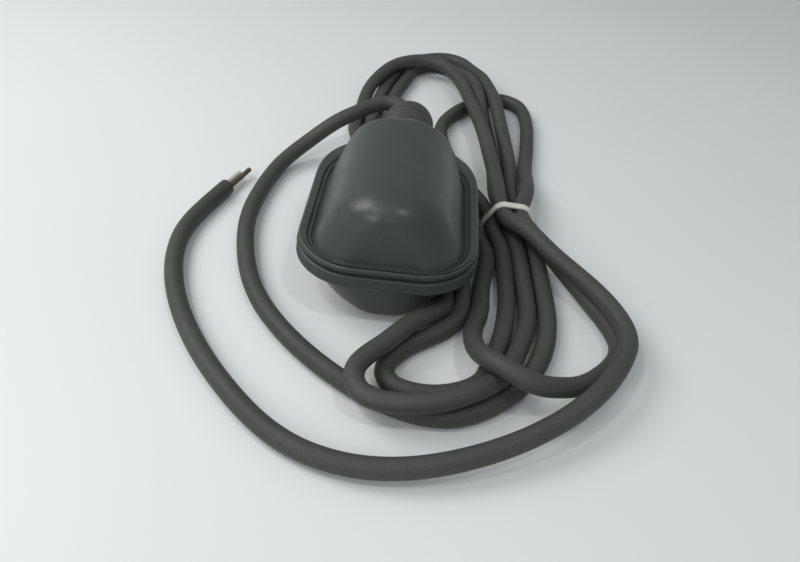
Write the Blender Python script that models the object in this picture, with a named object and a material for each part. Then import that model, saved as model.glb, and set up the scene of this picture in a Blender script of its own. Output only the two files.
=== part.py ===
"""Cable float switch: two bonded shells, a tilting ball switch sealed inside, and its rubber cable.

The float lies on the flat land of its lower shell, which is the plane z = 0. +Y points to the cable gland,
+X to the right, and the origin is below the middle of the flange. Run it in Blender 4.5.
"""
import math

import bmesh
import bpy
import numpy as np
from mathutils import Matrix, Vector

MM = 0.001

# ---------------------------------------------------------------- driving dimensions
GAP = 0.3 * MM                    # clearance between pieces that touch
RUNNING_GAP = 0.3 * MM            # clearance round a turning or sliding piece

# float body
FLANGE_WIDTH = 90.3 * MM
FLANGE_LENGTH = 125.0 * MM
FLANGE_FRONT_RADIUS = 30.0 * MM
FLANGE_REAR_POWER = 2.35          # 2 would make the rear end a half circle
UPPER_FLANGE = 3.9 * MM           # from the seam to the top of the flange
LOWER_FLANGE = 7.4 * MM           # from the seam to the underside of the flange
LOWER_LIP = 0.7 * MM              # the lower flange stands proud of the upper one
FLANGE_GROOVE_DEPTH = 1.2 * MM    # two grooves round the upper wall, with a rib between them
SHELL_WALL = 2.6 * MM
UPPER_DEPTH = 28.65 * MM          # from the flange's top to the flat crest
UPPER_ARCH_RADIUS = 34.6 * MM
UPPER_LAND_WIDTH = 14.6 * MM      # flat strip along the crest
UPPER_SIDE_DRAFT = math.radians(30)
UPPER_FRONT_FACE = 57.8 * MM      # from the middle of the flange to the foot of the front wall
UPPER_FRONT_DRAFT = math.radians(11)
UPPER_FRONT_ROUND = 13.0 * MM     # rounding from the front wall into the crest
UPPER_CORNER_RADIUS = 21.0 * MM
UPPER_REAR_ROUND = 2.6 * MM       # the crisper rim at the rear of the arch
LOWER_DEPTH = 25.15 * MM          # from the flange's underside to the flat land that the float lies on
LOWER_ARCH_RADIUS = 38.0 * MM
LOWER_LAND_WIDTH = 28.0 * MM
LOWER_SIDE_DRAFT = math.radians(24)
LOWER_FRONT_FACE = 58.8 * MM
LOWER_FRONT_DRAFT = math.radians(6)
LOWER_FRONT_ROUND = 8.0 * MM
LOWER_CORNER_RADIUS = 20.0 * MM
LOWER_REAR_ROUND = 4.0 * MM
REAR_FACE = 47.0 * MM             # from the middle of the flange to the foot of both rear walls
REAR_DRAFT = math.radians(20)
REAR_RIM_DEPTH = 6.0 * MM         # how far the rear wall bulges behind its corners, at the crest
REAR_RIM_POWER = 4.0              # its squareness there; at its foot it is round
REAR_RIM_START = 0.7              # share of the depth from which the rear wall is as square as its rim
SEAL_THICKNESS = 1.0 * MM
SEAL_INSET = 0.9 * MM             # from the edge of the flange to the edge of the seal
SEAL_WIDTH = 4.0 * MM

# gland
GLAND_RADIUS = 15.6 * MM
GLAND_COLLAR_RADIUS = 17.2 * MM   # shoulder that the shells trap
GLAND_COLLAR_THICKNESS = 3.0 * MM
GLAND_INNER_Y = 35.9 * MM
GLAND_DOME_Y = 88.0 * MM          # centre of the round end
GLAND_LEAN = 2.0 * MM             # and how far it leans to the right there
GLAND_RINGS = 3
GLAND_RING_PITCH = 5.5 * MM
GLAND_RING_DEPTH = 0.9 * MM
SNOUT_RADIUS = 6.9 * MM
SNOUT_REACH = 17.0 * MM           # from the centre of the round end to the mouth
SNOUT_TURN = math.radians(12)     # the mouth looks back and to the left

# cable
CORD_DIAMETER = 9.5 * MM
CORD_TURN = 24                    # degrees between two points of the cord's spline
CORD_BOW = 1.0 * MM               # and how far its round line may bow out from a straight piece of it
CORE_DIAMETER = 3.0 * MM
LEAD_DIAMETER = 2.2 * MM          # the cores inside the float, stripped of their filler
SHEATH_INNER_Y = 26.0 * MM        # the sheath is cut back to here inside the float

# switch capsule
CAPSULE_Y = -15.0 * MM            # its middle
CAPSULE_LENGTH = 64.0 * MM
CAPSULE_WIDTH = 43.0 * MM
CAPSULE_BOTTOM = 12.7 * MM
CREST_ROOM = 11.25 * MM           # free height over the capsule, under the upper shell's crest
CAPSULE_BASE_HEIGHT = 22.0 * MM
CAPSULE_WALL = 1.8 * MM
CAPSULE_CORNER = 8.0 * MM
CAPSULE_SEAL = 0.8 * MM
POST_RADIUS = 2.6 * MM            # posts of the lower shell under the capsule
POST_X = 14.0 * MM
POST_Y = 20.0 * MM                # from the capsule's middle
SCREW_RADIUS = 1.1 * MM
SCREW_HEAD_RADIUS = 2.0 * MM
SCREW_HEAD_HEIGHT = 1.3 * MM
SCREW_BOSS_RADIUS = 2.6 * MM
SCREW_BOSS_INSET = 5.2 * MM       # from the capsule's sides to the middle of a corner screw
SCREW_GRIP = 6.0 * MM             # length of a screw in what it holds on to

# rocker and ball
ROCKER_PIVOT_Y = -12.0 * MM
ROCKER_PIVOT_Z = 26.0 * MM
ROCKER_LENGTH = 44.0 * MM
ROCKER_WALL = 1.5 * MM
ROCKER_FLOOR = 1.6 * MM
ROCKER_FLOOR_RISE = 2.0 * MM      # underside of the floor above the pin's axis
ROCKER_SIDE_HEIGHT = 7.0 * MM
ROCKER_CORNER = 3.0 * MM
ROCKER_HUB_RADIUS = 2.9 * MM
ROCKER_HUB_LENGTH = 4.5 * MM
ROCKER_TILT = math.radians(6)     # at rest the cable end is down by this much
BALL_DIAMETER = 16.0 * MM
BALL_SIDE_GAP = 0.5 * MM
PIN_RADIUS = 1.4 * MM
EAR_THICKNESS = 3.0 * MM
EAR_LENGTH = 8.0 * MM
STOP_THICKNESS = 2.6 * MM         # stops under the two ends of the rocker
STOP_WIDTH = 4.0 * MM
STOP_X = 6.8 * MM

# microswitch, under the front half of the rocker
SWITCH_REAR_Y = -16.7 * MM
SWITCH_LENGTH = 19.8 * MM
SWITCH_WIDTH = 6.4 * MM
SWITCH_HEIGHT = 10.2 * MM
SWITCH_WALL = 1.2 * MM
SWITCH_REAR_WALL = 2.0 * MM       # holds the terminals
SWITCH_HOLE_PITCH = 9.5 * MM
SWITCH_HOLE_Z = 2.8 * MM          # above the switch's underside
BRACKET_THICKNESS = 3.0 * MM
BRACKET_HEIGHT = 7.5 * MM
PLUNGER_ARM = 8.6 * MM            # in front of the rocker's pin
PLUNGER_RADIUS = 1.0 * MM
PLUNGER_HEAD_RADIUS = 1.6 * MM
PLUNGER_HEAD = 1.0 * MM
PLUNGER_TIP = 3.5 * MM            # above the switch at rest
PLUNGER_TRAVEL = 1.8 * MM
BLADE_THICKNESS = 0.3 * MM
BLADE_WIDTH = 2.6 * MM
TERMINAL_LENGTH = 4.0 * MM        # outside the switch
TERMINAL_ROOT = 1.2 * MM          # length inside it
TERMINAL_WIDTH = 2.0 * MM
TERMINAL_THICKNESS = 0.5 * MM
TERMINAL_PITCH = 2.6 * MM
TERMINAL_LOWEST = 1.6 * MM        # above the switch's underside
SLEEVE_WALL = 0.4 * MM
SLEEVE_LENGTH = 5.0 * MM

# grommet where the leads leave the capsule
GROMMET_RADIUS = 5.0 * MM
GROMMET_FLANGE = 1.2 * MM
GROMMET_Z = 25.4 * MM

# cable clamp inside the float
CLAMP_Y = 30.5 * MM
CLAMP_LENGTH = 4.6 * MM
CLAMP_WALL = 1.6 * MM
CLAMP_SCREW_X = 9.3 * MM
CLAMP_FOOT = 1.6 * MM
SADDLE_HALF_WIDTH = 12.2 * MM
SADDLE_FOOT_Z = 2.2 * MM

# tie round the hank
TIE_Y = 29.0 * MM
TIE_WIDTH = 4.6 * MM
TIE_THICKNESS = 1.1 * MM

# ---------------------------------------------------------------- derived dimensions
SEAM_Z = LOWER_DEPTH + LOWER_FLANGE
CAPSULE_TOP = SEAM_Z + UPPER_FLANGE + UPPER_DEPTH - SHELL_WALL - CREST_ROOM
CAPSULE_FRONT_Y = CAPSULE_Y - CAPSULE_LENGTH / 2
CAPSULE_REAR_Y = CAPSULE_Y + CAPSULE_LENGTH / 2
CAPSULE_FLOOR_Z = CAPSULE_BOTTOM + CAPSULE_WALL
CAPSULE_SPLIT_Z = CAPSULE_BOTTOM + CAPSULE_BASE_HEIGHT
CAPSULE_LID_Z = CAPSULE_SPLIT_Z + CAPSULE_SEAL + 2 * GAP
SWITCH_Z = CAPSULE_FLOOR_Z + GAP
SWITCH_TOP_Z = SWITCH_Z + SWITCH_HEIGHT
SWITCH_FRONT_Y = SWITCH_REAR_Y - SWITCH_LENGTH
SWITCH_HOLES_Y = [(SWITCH_REAR_Y + SWITCH_FRONT_Y + side * SWITCH_HOLE_PITCH) / 2 for side in (-1, 1)]
PIVOT = Vector((0, ROCKER_PIVOT_Y, ROCKER_PIVOT_Z))
PLUNGER_Y = ROCKER_PIVOT_Y - PLUNGER_ARM
TROUGH_HALF_WIDTH = BALL_DIAMETER / 2 + BALL_SIDE_GAP
ROCKER_HALF_WIDTH = TROUGH_HALF_WIDTH + ROCKER_WALL
BALL_RISE = ROCKER_FLOOR_RISE + ROCKER_FLOOR + GAP + BALL_DIAMETER / 2
BALL_REST = ROCKER_LENGTH / 2 - ROCKER_WALL - GAP - BALL_DIAMETER / 2

GLAND_SIDES = 32
CORD_SIDES = 20
THINNING_START = 4                # samples of the cord's line kept from its first stretch
RING_FRONT_STEPS = 3
RING_CORNER_STEPS = 7
RING_SIDE_STEPS = 5
RING_REAR_STEPS = 11
ARCH_OUTER_STEPS = 7
ARCH_INNER_STEPS = 5
WALL_FOOT_RING = 0.6 * MM         # the lowest contour of a wall, above the flange


# ---------------------------------------------------------------- helpers
def material(name, colour, roughness, metallic=0.0):
    mat = bpy.data.materials.new(name)
    mat.use_nodes = True
    shader = mat.node_tree.nodes["Principled BSDF"]
    shader.inputs["Base Color"].default_value = (*colour, 1.0)
    shader.inputs["Roughness"].default_value = roughness
    shader.inputs["Metallic"].default_value = metallic
    return mat


def add_object(name, data, mat=None, parent=None):
    obj = bpy.data.objects.new(name, data)
    bpy.context.scene.collection.objects.link(obj)
    if mat:
        data.materials.append(mat)
    if parent:
        obj.parent = parent
    return obj


def finish_mesh(name, bm, mat=None, parent=None, sharp_deg=35):
    """Turn a bmesh into a named object with its faces pointing out and its round faces shaded smooth."""
    bmesh.ops.recalc_face_normals(bm, faces=bm.faces)
    mesh = bpy.data.meshes.new(name)
    bm.to_mesh(mesh)
    bm.free()
    mesh.shade_smooth()
    mesh.set_sharp_from_angle(angle=math.radians(sharp_deg))
    return add_object(name, mesh, mat, parent)


def add_box(bm, low, high):
    """Add a closed box between two corners."""
    low, high = Vector(low), Vector(high)
    size = high - low
    matrix = Matrix.Translation((low + high) / 2) @ Matrix.Diagonal((*size, 1))
    bmesh.ops.create_cube(bm, size=1, matrix=matrix)


def loft(bm, rings, closed=False):
    """Bridge rings of points that have the same count; cap both ends unless the rings close on themselves."""
    loops = [[bm.verts.new(point) for point in ring] for ring in rings]
    pairs = list(zip(loops, loops[1:]))
    if closed:
        pairs.append((loops[-1], loops[0]))
    for lower, upper in pairs:
        for i in range(len(lower)):
            j = (i + 1) % len(lower)
            bm.faces.new((lower[i], lower[j], upper[j], upper[i]))
    if not closed:
        bm.faces.new(loops[0])
        bm.faces.new(loops[-1])


def circle(centre, radius, normal, sides):
    """Points of a circle about a centre, in the plane across normal."""
    normal = Vector(normal).normalized()
    side = normal.orthogonal().normalized()
    up = normal.cross(side)
    angles = [2 * math.pi * k / sides for k in range(sides)]
    return [Vector(centre) + radius * (math.cos(a) * side + math.sin(a) * up) for a in angles]


def turned(bm, start, axis, profile, sides):
    """Add a solid of revolution: profile is a list of (distance along the axis, radius)."""
    start, axis = Vector(start), Vector(axis).normalized()
    loft(bm, [circle(start + axis * along, radius, axis, sides) for along, radius in profile])


def turned_object(name, start, axis, profile, sides, mat=None, parent=None):
    bm = bmesh.new()
    turned(bm, start, axis, profile, sides)
    return finish_mesh(name, bm, mat, parent)


def cutter(obj):
    obj.hide_render = True
    obj.display_type = "WIRE"
    return obj


def boolean(obj, tool, operation="DIFFERENCE"):
    """Cut a solid with a tool, or join the tool to it."""
    modifier = obj.modifiers.new(tool.name, "BOOLEAN")
    modifier.operation = operation
    modifier.solver = "EXACT"
    modifier.object = tool
    cutter(tool)


def screw(name, seat, direction, length, mat):
    """A pan-head screw: seat is the middle of its head's underside, and the shank runs along direction."""
    profile = [(-SCREW_HEAD_HEIGHT, SCREW_HEAD_RADIUS * 0.8), (0, SCREW_HEAD_RADIUS), (0, SCREW_RADIUS),
               (length, SCREW_RADIUS)]
    turned_object(name, seat, direction, profile, 10, mat)


def round_tube(name, points, diameter, mat, resolution=2, parent=None):
    """A round cable or core along a list of points, with filled ends."""
    curve = bpy.data.curves.new(name, "CURVE")
    curve.dimensions = "3D"
    curve.bevel_depth = diameter / 2
    curve.bevel_resolution = resolution
    curve.use_fill_caps = True
    spline = curve.splines.new("POLY")
    spline.points.add(len(points) - 1)
    for place, point in zip(spline.points, points):
        place.co = (*point, 1.0)
    return add_object(name, curve, mat, parent)


# ---------------------------------------------------------------- shells and seal
class Wall:
    """A drafted wall that rounds over into a flat crest: its distance from the middle at a height."""

    def __init__(self, foot, draft, radius, crest):
        self.foot, self.draft, self.radius = foot, draft, radius
        self.centre_height = crest - radius
        self.centre = foot - self.centre_height * math.tan(draft) - radius / math.cos(draft)

    def distance(self, height, inset):
        radius = self.radius - inset
        tangent = self.centre_height + radius * math.sin(self.draft)
        if height <= tangent:
            return self.foot - inset / math.cos(self.draft) - height * math.tan(self.draft)
        rise = min(height - self.centre_height, radius)
        return self.centre + math.sqrt(radius ** 2 - rise ** 2)


class Form:
    """The outside of one shell: a flange, and drafted walls that arch over into a flat crest."""

    def __init__(self, flange, depth, arch_radius, land_width, side_draft, corner, front, rear):
        """flange is measured from the seam, depth from the flange; front and rear hold the distance of a
        wall's foot, its draft and its rounding into the crest."""
        self.flange, self.depth, self.corner = flange, depth, corner
        self.arch_radius, self.side_draft = arch_radius, side_draft
        self.arch_centre = depth - math.sqrt(arch_radius ** 2 - (land_width / 2) ** 2)
        foot = self.arch_centre * math.tan(side_draft) + arch_radius / math.cos(side_draft)
        self.side = Wall(foot, side_draft, arch_radius, self.arch_centre + arch_radius)
        self.front, self.rear = Wall(*front, depth), Wall(*rear, depth)

    def contour(self, height, inset):
        """Sizes of the walls' contour at a height above the flange, inset from the outside."""
        squareness = min(max(height / (self.depth * REAR_RIM_START), 0.0), 1.0)
        rim_depth = self.side.foot + (REAR_RIM_DEPTH - self.side.foot) * squareness
        return (self.side.distance(height, inset), self.front.distance(height, inset),
                self.rear.distance(height, inset), self.corner - inset, rim_depth,
                2 + (REAR_RIM_POWER - 2) * squareness)

    def arch_heights(self, inset, steps):
        """Heights of contours from the crest down to where the arch runs into the straight wall."""
        radius = self.arch_radius - inset
        top = math.asin((self.depth - inset - self.arch_centre) / radius)
        return [self.arch_centre + radius * math.sin(angle) for angle in np.linspace(top, self.side_draft, steps)]


UPPER_FORM = Form(UPPER_FLANGE, UPPER_DEPTH, UPPER_ARCH_RADIUS, UPPER_LAND_WIDTH, UPPER_SIDE_DRAFT,
                  UPPER_CORNER_RADIUS, (UPPER_FRONT_FACE, UPPER_FRONT_DRAFT, UPPER_FRONT_ROUND),
                  (REAR_FACE, REAR_DRAFT, UPPER_REAR_ROUND))
LOWER_FORM = Form(LOWER_FLANGE, LOWER_DEPTH, LOWER_ARCH_RADIUS, LOWER_LAND_WIDTH, LOWER_SIDE_DRAFT,
                  LOWER_CORNER_RADIUS, (LOWER_FRONT_FACE, LOWER_FRONT_DRAFT, LOWER_FRONT_ROUND),
                  (REAR_FACE, REAR_DRAFT, LOWER_REAR_ROUND))
# across the flange: (share of the way from the wall's foot to the edge, share of the groove's depth)
UPPER_FLANGE_PROFILE = ((0.05, 0.9), (0.14, 0.6), (0.21, 0.15), (0.30, 0.6), (0.37, 1.0), (0.46, 0.2), (0.80, 0.0))
LOWER_FLANGE_PROFILE = ((0.10, 0.0),)
# rounding of the flange's edge: (inset from it, distance below the flange's face)
FLANGE_EDGE_PROFILE = ((0.9 * MM, 0.25 * MM), (0.35 * MM, 1.0 * MM), (0.0, 2.0 * MM))
FLANGE_EDGE_DRAFT = 0.35 * MM     # inset of the edge at the seam


def outline(half_width, front, rear, corner, rear_depth, rear_power, z):
    """One closed contour: flat front with round corners, straight sides, and a rear between a half
    circle (rear_power 2) and a squared end (higher powers)."""
    corner = min(corner, half_width - 1 * MM)
    half = []
    for k in range(RING_FRONT_STEPS):
        half.append(((half_width - corner) * k / RING_FRONT_STEPS, -front))
    for k in range(RING_CORNER_STEPS + 1):
        angle = math.pi / 2 * k / RING_CORNER_STEPS
        half.append((half_width - corner + corner * math.sin(angle), -front + corner - corner * math.cos(angle)))
    side_start, side_end = -front + corner, rear - rear_depth
    for k in range(1, RING_SIDE_STEPS + 1):
        half.append((half_width, side_start + (side_end - side_start) * k / RING_SIDE_STEPS))
    for k in range(1, RING_REAR_STEPS + 1):
        angle = math.pi / 2 * k / RING_REAR_STEPS
        x = half_width * max(math.cos(angle), 0.0) ** (2 / rear_power)
        half.append((x if k < RING_REAR_STEPS else 0.0,
                     side_end + rear_depth * math.sin(angle) ** (2 / rear_power)))
    left = [(-x, y) for x, y in reversed(half[1:-1])]
    return [Vector((x, y, z)) for x, y in half + left]


def flange_shape(inset):
    """Sizes of the flange's contour, inset from its edge."""
    half_width = FLANGE_WIDTH / 2 - inset
    return (half_width, FLANGE_LENGTH / 2 - inset, FLANGE_LENGTH / 2 - inset,
            FLANGE_FRONT_RADIUS - inset, half_width, FLANGE_REAR_POWER)


def between(a, b, share):
    return tuple(p + (q - p) * share for p, q in zip(a, b))


def shell_rings(form, lip, profile):
    """Contours of one shell from its crest down the outside, over the flange and up the inside; z is
    measured from the seam."""
    heights = form.arch_heights(0, ARCH_OUTER_STEPS)
    heights += [heights[-1] / 2, WALL_FOOT_RING]
    rings = [outline(*form.contour(h, 0), form.flange + h) for h in heights]
    foot, edge = form.contour(0, 0), flange_shape(-lip)
    for share, depth in profile:
        rings.append(outline(*between(foot, edge, share), form.flange - depth * FLANGE_GROOVE_DEPTH))
    for inset, below in FLANGE_EDGE_PROFILE:
        rings.append(outline(*flange_shape(inset - lip), form.flange - below))
    seam = SEAL_THICKNESS / 2 + GAP
    rings.append(outline(*flange_shape(FLANGE_EDGE_DRAFT - lip), seam))
    rings.append(outline(*form.contour(0, SHELL_WALL), seam))
    for height in [0.0] + form.arch_heights(SHELL_WALL, ARCH_INNER_STEPS)[::-1]:
        rings.append(outline(*form.contour(height, SHELL_WALL), form.flange + height))
    return rings


def shell(name, side, form, lip, profile, mat):
    """side +1 builds a shell above the seam, -1 one below it."""
    bm = bmesh.new()
    loft(bm, [[Vector((p.x, p.y, SEAM_Z + side * p.z)) for p in ring] for ring in shell_rings(form, lip, profile)])
    obj = finish_mesh(name, bm, mat, sharp_deg=50)
    hole = turned_object(name + "_gland_cut", (0, GLAND_INNER_Y + GLAND_COLLAR_THICKNESS + GAP, SEAM_Z), (0, 1, 0),
                         [(0, GLAND_RADIUS + GAP), (FLANGE_LENGTH / 2, GLAND_RADIUS + GAP)], GLAND_SIDES)
    boolean(obj, hole)
    return obj


def lower_shell_mounts(obj):
    """Posts under the switch capsule and the saddle under the cable, moulded into the lower shell."""
    root = SHELL_WALL / 2
    for sx in (-1, 1):
        for sy in (-1, 1):
            profile = [(0, POST_RADIUS), (CAPSULE_BOTTOM - GAP - root, POST_RADIUS)]
            place = (sx * POST_X, CAPSULE_Y + sy * POST_Y, root)
            boolean(obj, turned_object(f"post_{sx}_{sy}", place, (0, 0, 1), profile, 12), "UNION")
    bm = bmesh.new()
    saddle_low, saddle_high = CLAMP_Y - CLAMP_LENGTH / 2, CLAMP_Y + CLAMP_LENGTH / 2
    add_box(bm, (-SADDLE_HALF_WIDTH, saddle_low, SADDLE_FOOT_Z), (SADDLE_HALF_WIDTH, saddle_high, SEAM_Z))
    saddle = finish_mesh("saddle", bm)
    groove = turned_object("saddle_groove", (0, saddle_low - MM, SEAM_Z), (0, 1, 0),
                           [(0, CORD_DIAMETER / 2 + GAP), (CLAMP_LENGTH + 2 * MM, CORD_DIAMETER / 2 + GAP)], 24)
    boolean(obj, saddle, "UNION")
    boolean(obj, groove)
    for sx in (-1, 1):
        hole = turned_object(f"saddle_screw_hole_{sx}", (sx * CLAMP_SCREW_X, CLAMP_Y, SEAM_Z - SCREW_GRIP - GAP),
                             (0, 0, 1), [(0, SCREW_RADIUS + GAP), (SCREW_GRIP + 2 * MM, SCREW_RADIUS + GAP)], 12)
        boolean(obj, hole)


def rim_seal(mat):
    bm = bmesh.new()
    outer, inner = flange_shape(SEAL_INSET), flange_shape(SEAL_INSET + SEAL_WIDTH)
    low, high = SEAM_Z - SEAL_THICKNESS / 2, SEAM_Z + SEAL_THICKNESS / 2
    rings = [outline(*outer, low), outline(*outer, high), outline(*inner, high), outline(*inner, low)]
    loft(bm, rings, closed=True)
    obj = finish_mesh("rim_seal", bm, mat)
    hole = turned_object("rim_seal_gland_cut", (0, GLAND_INNER_Y, SEAM_Z), (0, 1, 0),
                         [(0, GLAND_RADIUS + GAP), (FLANGE_LENGTH / 2, GLAND_RADIUS + GAP)], GLAND_SIDES)
    boolean(obj, hole)


# ---------------------------------------------------------------- gland and cable
def gland_centre(y):
    """The gland is straight as far as the flange's edge and leans to the right behind it."""
    share = (y - FLANGE_LENGTH / 2) / (GLAND_DOME_Y - FLANGE_LENGTH / 2)
    share = min(max(share, 0.0), 1.0)
    return Vector((GLAND_LEAN * share ** 2 * (3 - 2 * share), y, SEAM_Z))


SNOUT_DIRECTION = Vector((-math.sin(SNOUT_TURN), math.cos(SNOUT_TURN), 0))
DOME_CENTRE = gland_centre(GLAND_DOME_Y)
MOUTH = DOME_CENTRE + SNOUT_DIRECTION * SNOUT_REACH


def gland_bore_points(start, end_extra):
    """Centre line of the cable inside the gland: straight, then a short bend into the mouth."""
    bend = 9.0 * MM
    first, last = gland_centre(GLAND_DOME_Y - bend), DOME_CENTRE + SNOUT_DIRECTION * bend
    points = [gland_centre(start), gland_centre(FLANGE_LENGTH / 2), first]
    for k in range(1, 5):
        t = k / 5
        points.append(first * (1 - t) ** 2 + DOME_CENTRE * 2 * t * (1 - t) + last * t ** 2)
    return points + [last, MOUTH + SNOUT_DIRECTION * end_extra]


def sweep(bm, points, radius, sides):
    """A round tube along points, mitred at each one."""
    rings = []
    for k, point in enumerate(points):
        before, after = points[max(k - 1, 0)], points[min(k + 1, len(points) - 1)]
        rings.append(circle(point, radius, after - before, sides))
    loft(bm, rings)


def cable_gland(mat):
    shoulder = GLAND_INNER_Y + GLAND_COLLAR_THICKNESS
    profile = [(GLAND_INNER_Y, GLAND_COLLAR_RADIUS), (shoulder, GLAND_COLLAR_RADIUS), (shoulder, GLAND_RADIUS),
               (FLANGE_LENGTH / 2, GLAND_RADIUS)]
    for k in range(GLAND_RINGS):
        middle = GLAND_DOME_Y - (GLAND_RINGS - k) * GLAND_RING_PITCH
        for step, depth in ((-0.9, 0), (-0.3, 1), (0.3, 1), (0.9, 0)):
            profile.append((middle + step * MM, GLAND_RADIUS - depth * GLAND_RING_DEPTH))
    for k in range(7):
        angle = math.radians(11 * k)
        profile.append((GLAND_DOME_Y + GLAND_RADIUS * math.sin(angle), GLAND_RADIUS * math.cos(angle)))
    bm = bmesh.new()
    loft(bm, [circle(gland_centre(y), radius, (0, 1, 0), GLAND_SIDES) for y, radius in profile])
    obj = finish_mesh("cable_gland", bm, mat)
    snout = turned_object("snout", DOME_CENTRE, SNOUT_DIRECTION,
                          [(0, SNOUT_RADIUS + 1.5 * MM), (SNOUT_REACH - 1 * MM, SNOUT_RADIUS),
                           (SNOUT_REACH, SNOUT_RADIUS - 0.8 * MM)], 24)
    boolean(obj, snout, "UNION")
    bm = bmesh.new()
    sweep(bm, gland_bore_points(GLAND_INNER_Y - MM, MM), CORD_DIAMETER / 2 + GAP, CORD_SIDES)
    boolean(obj, finish_mesh("gland_bore", bm))


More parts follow.
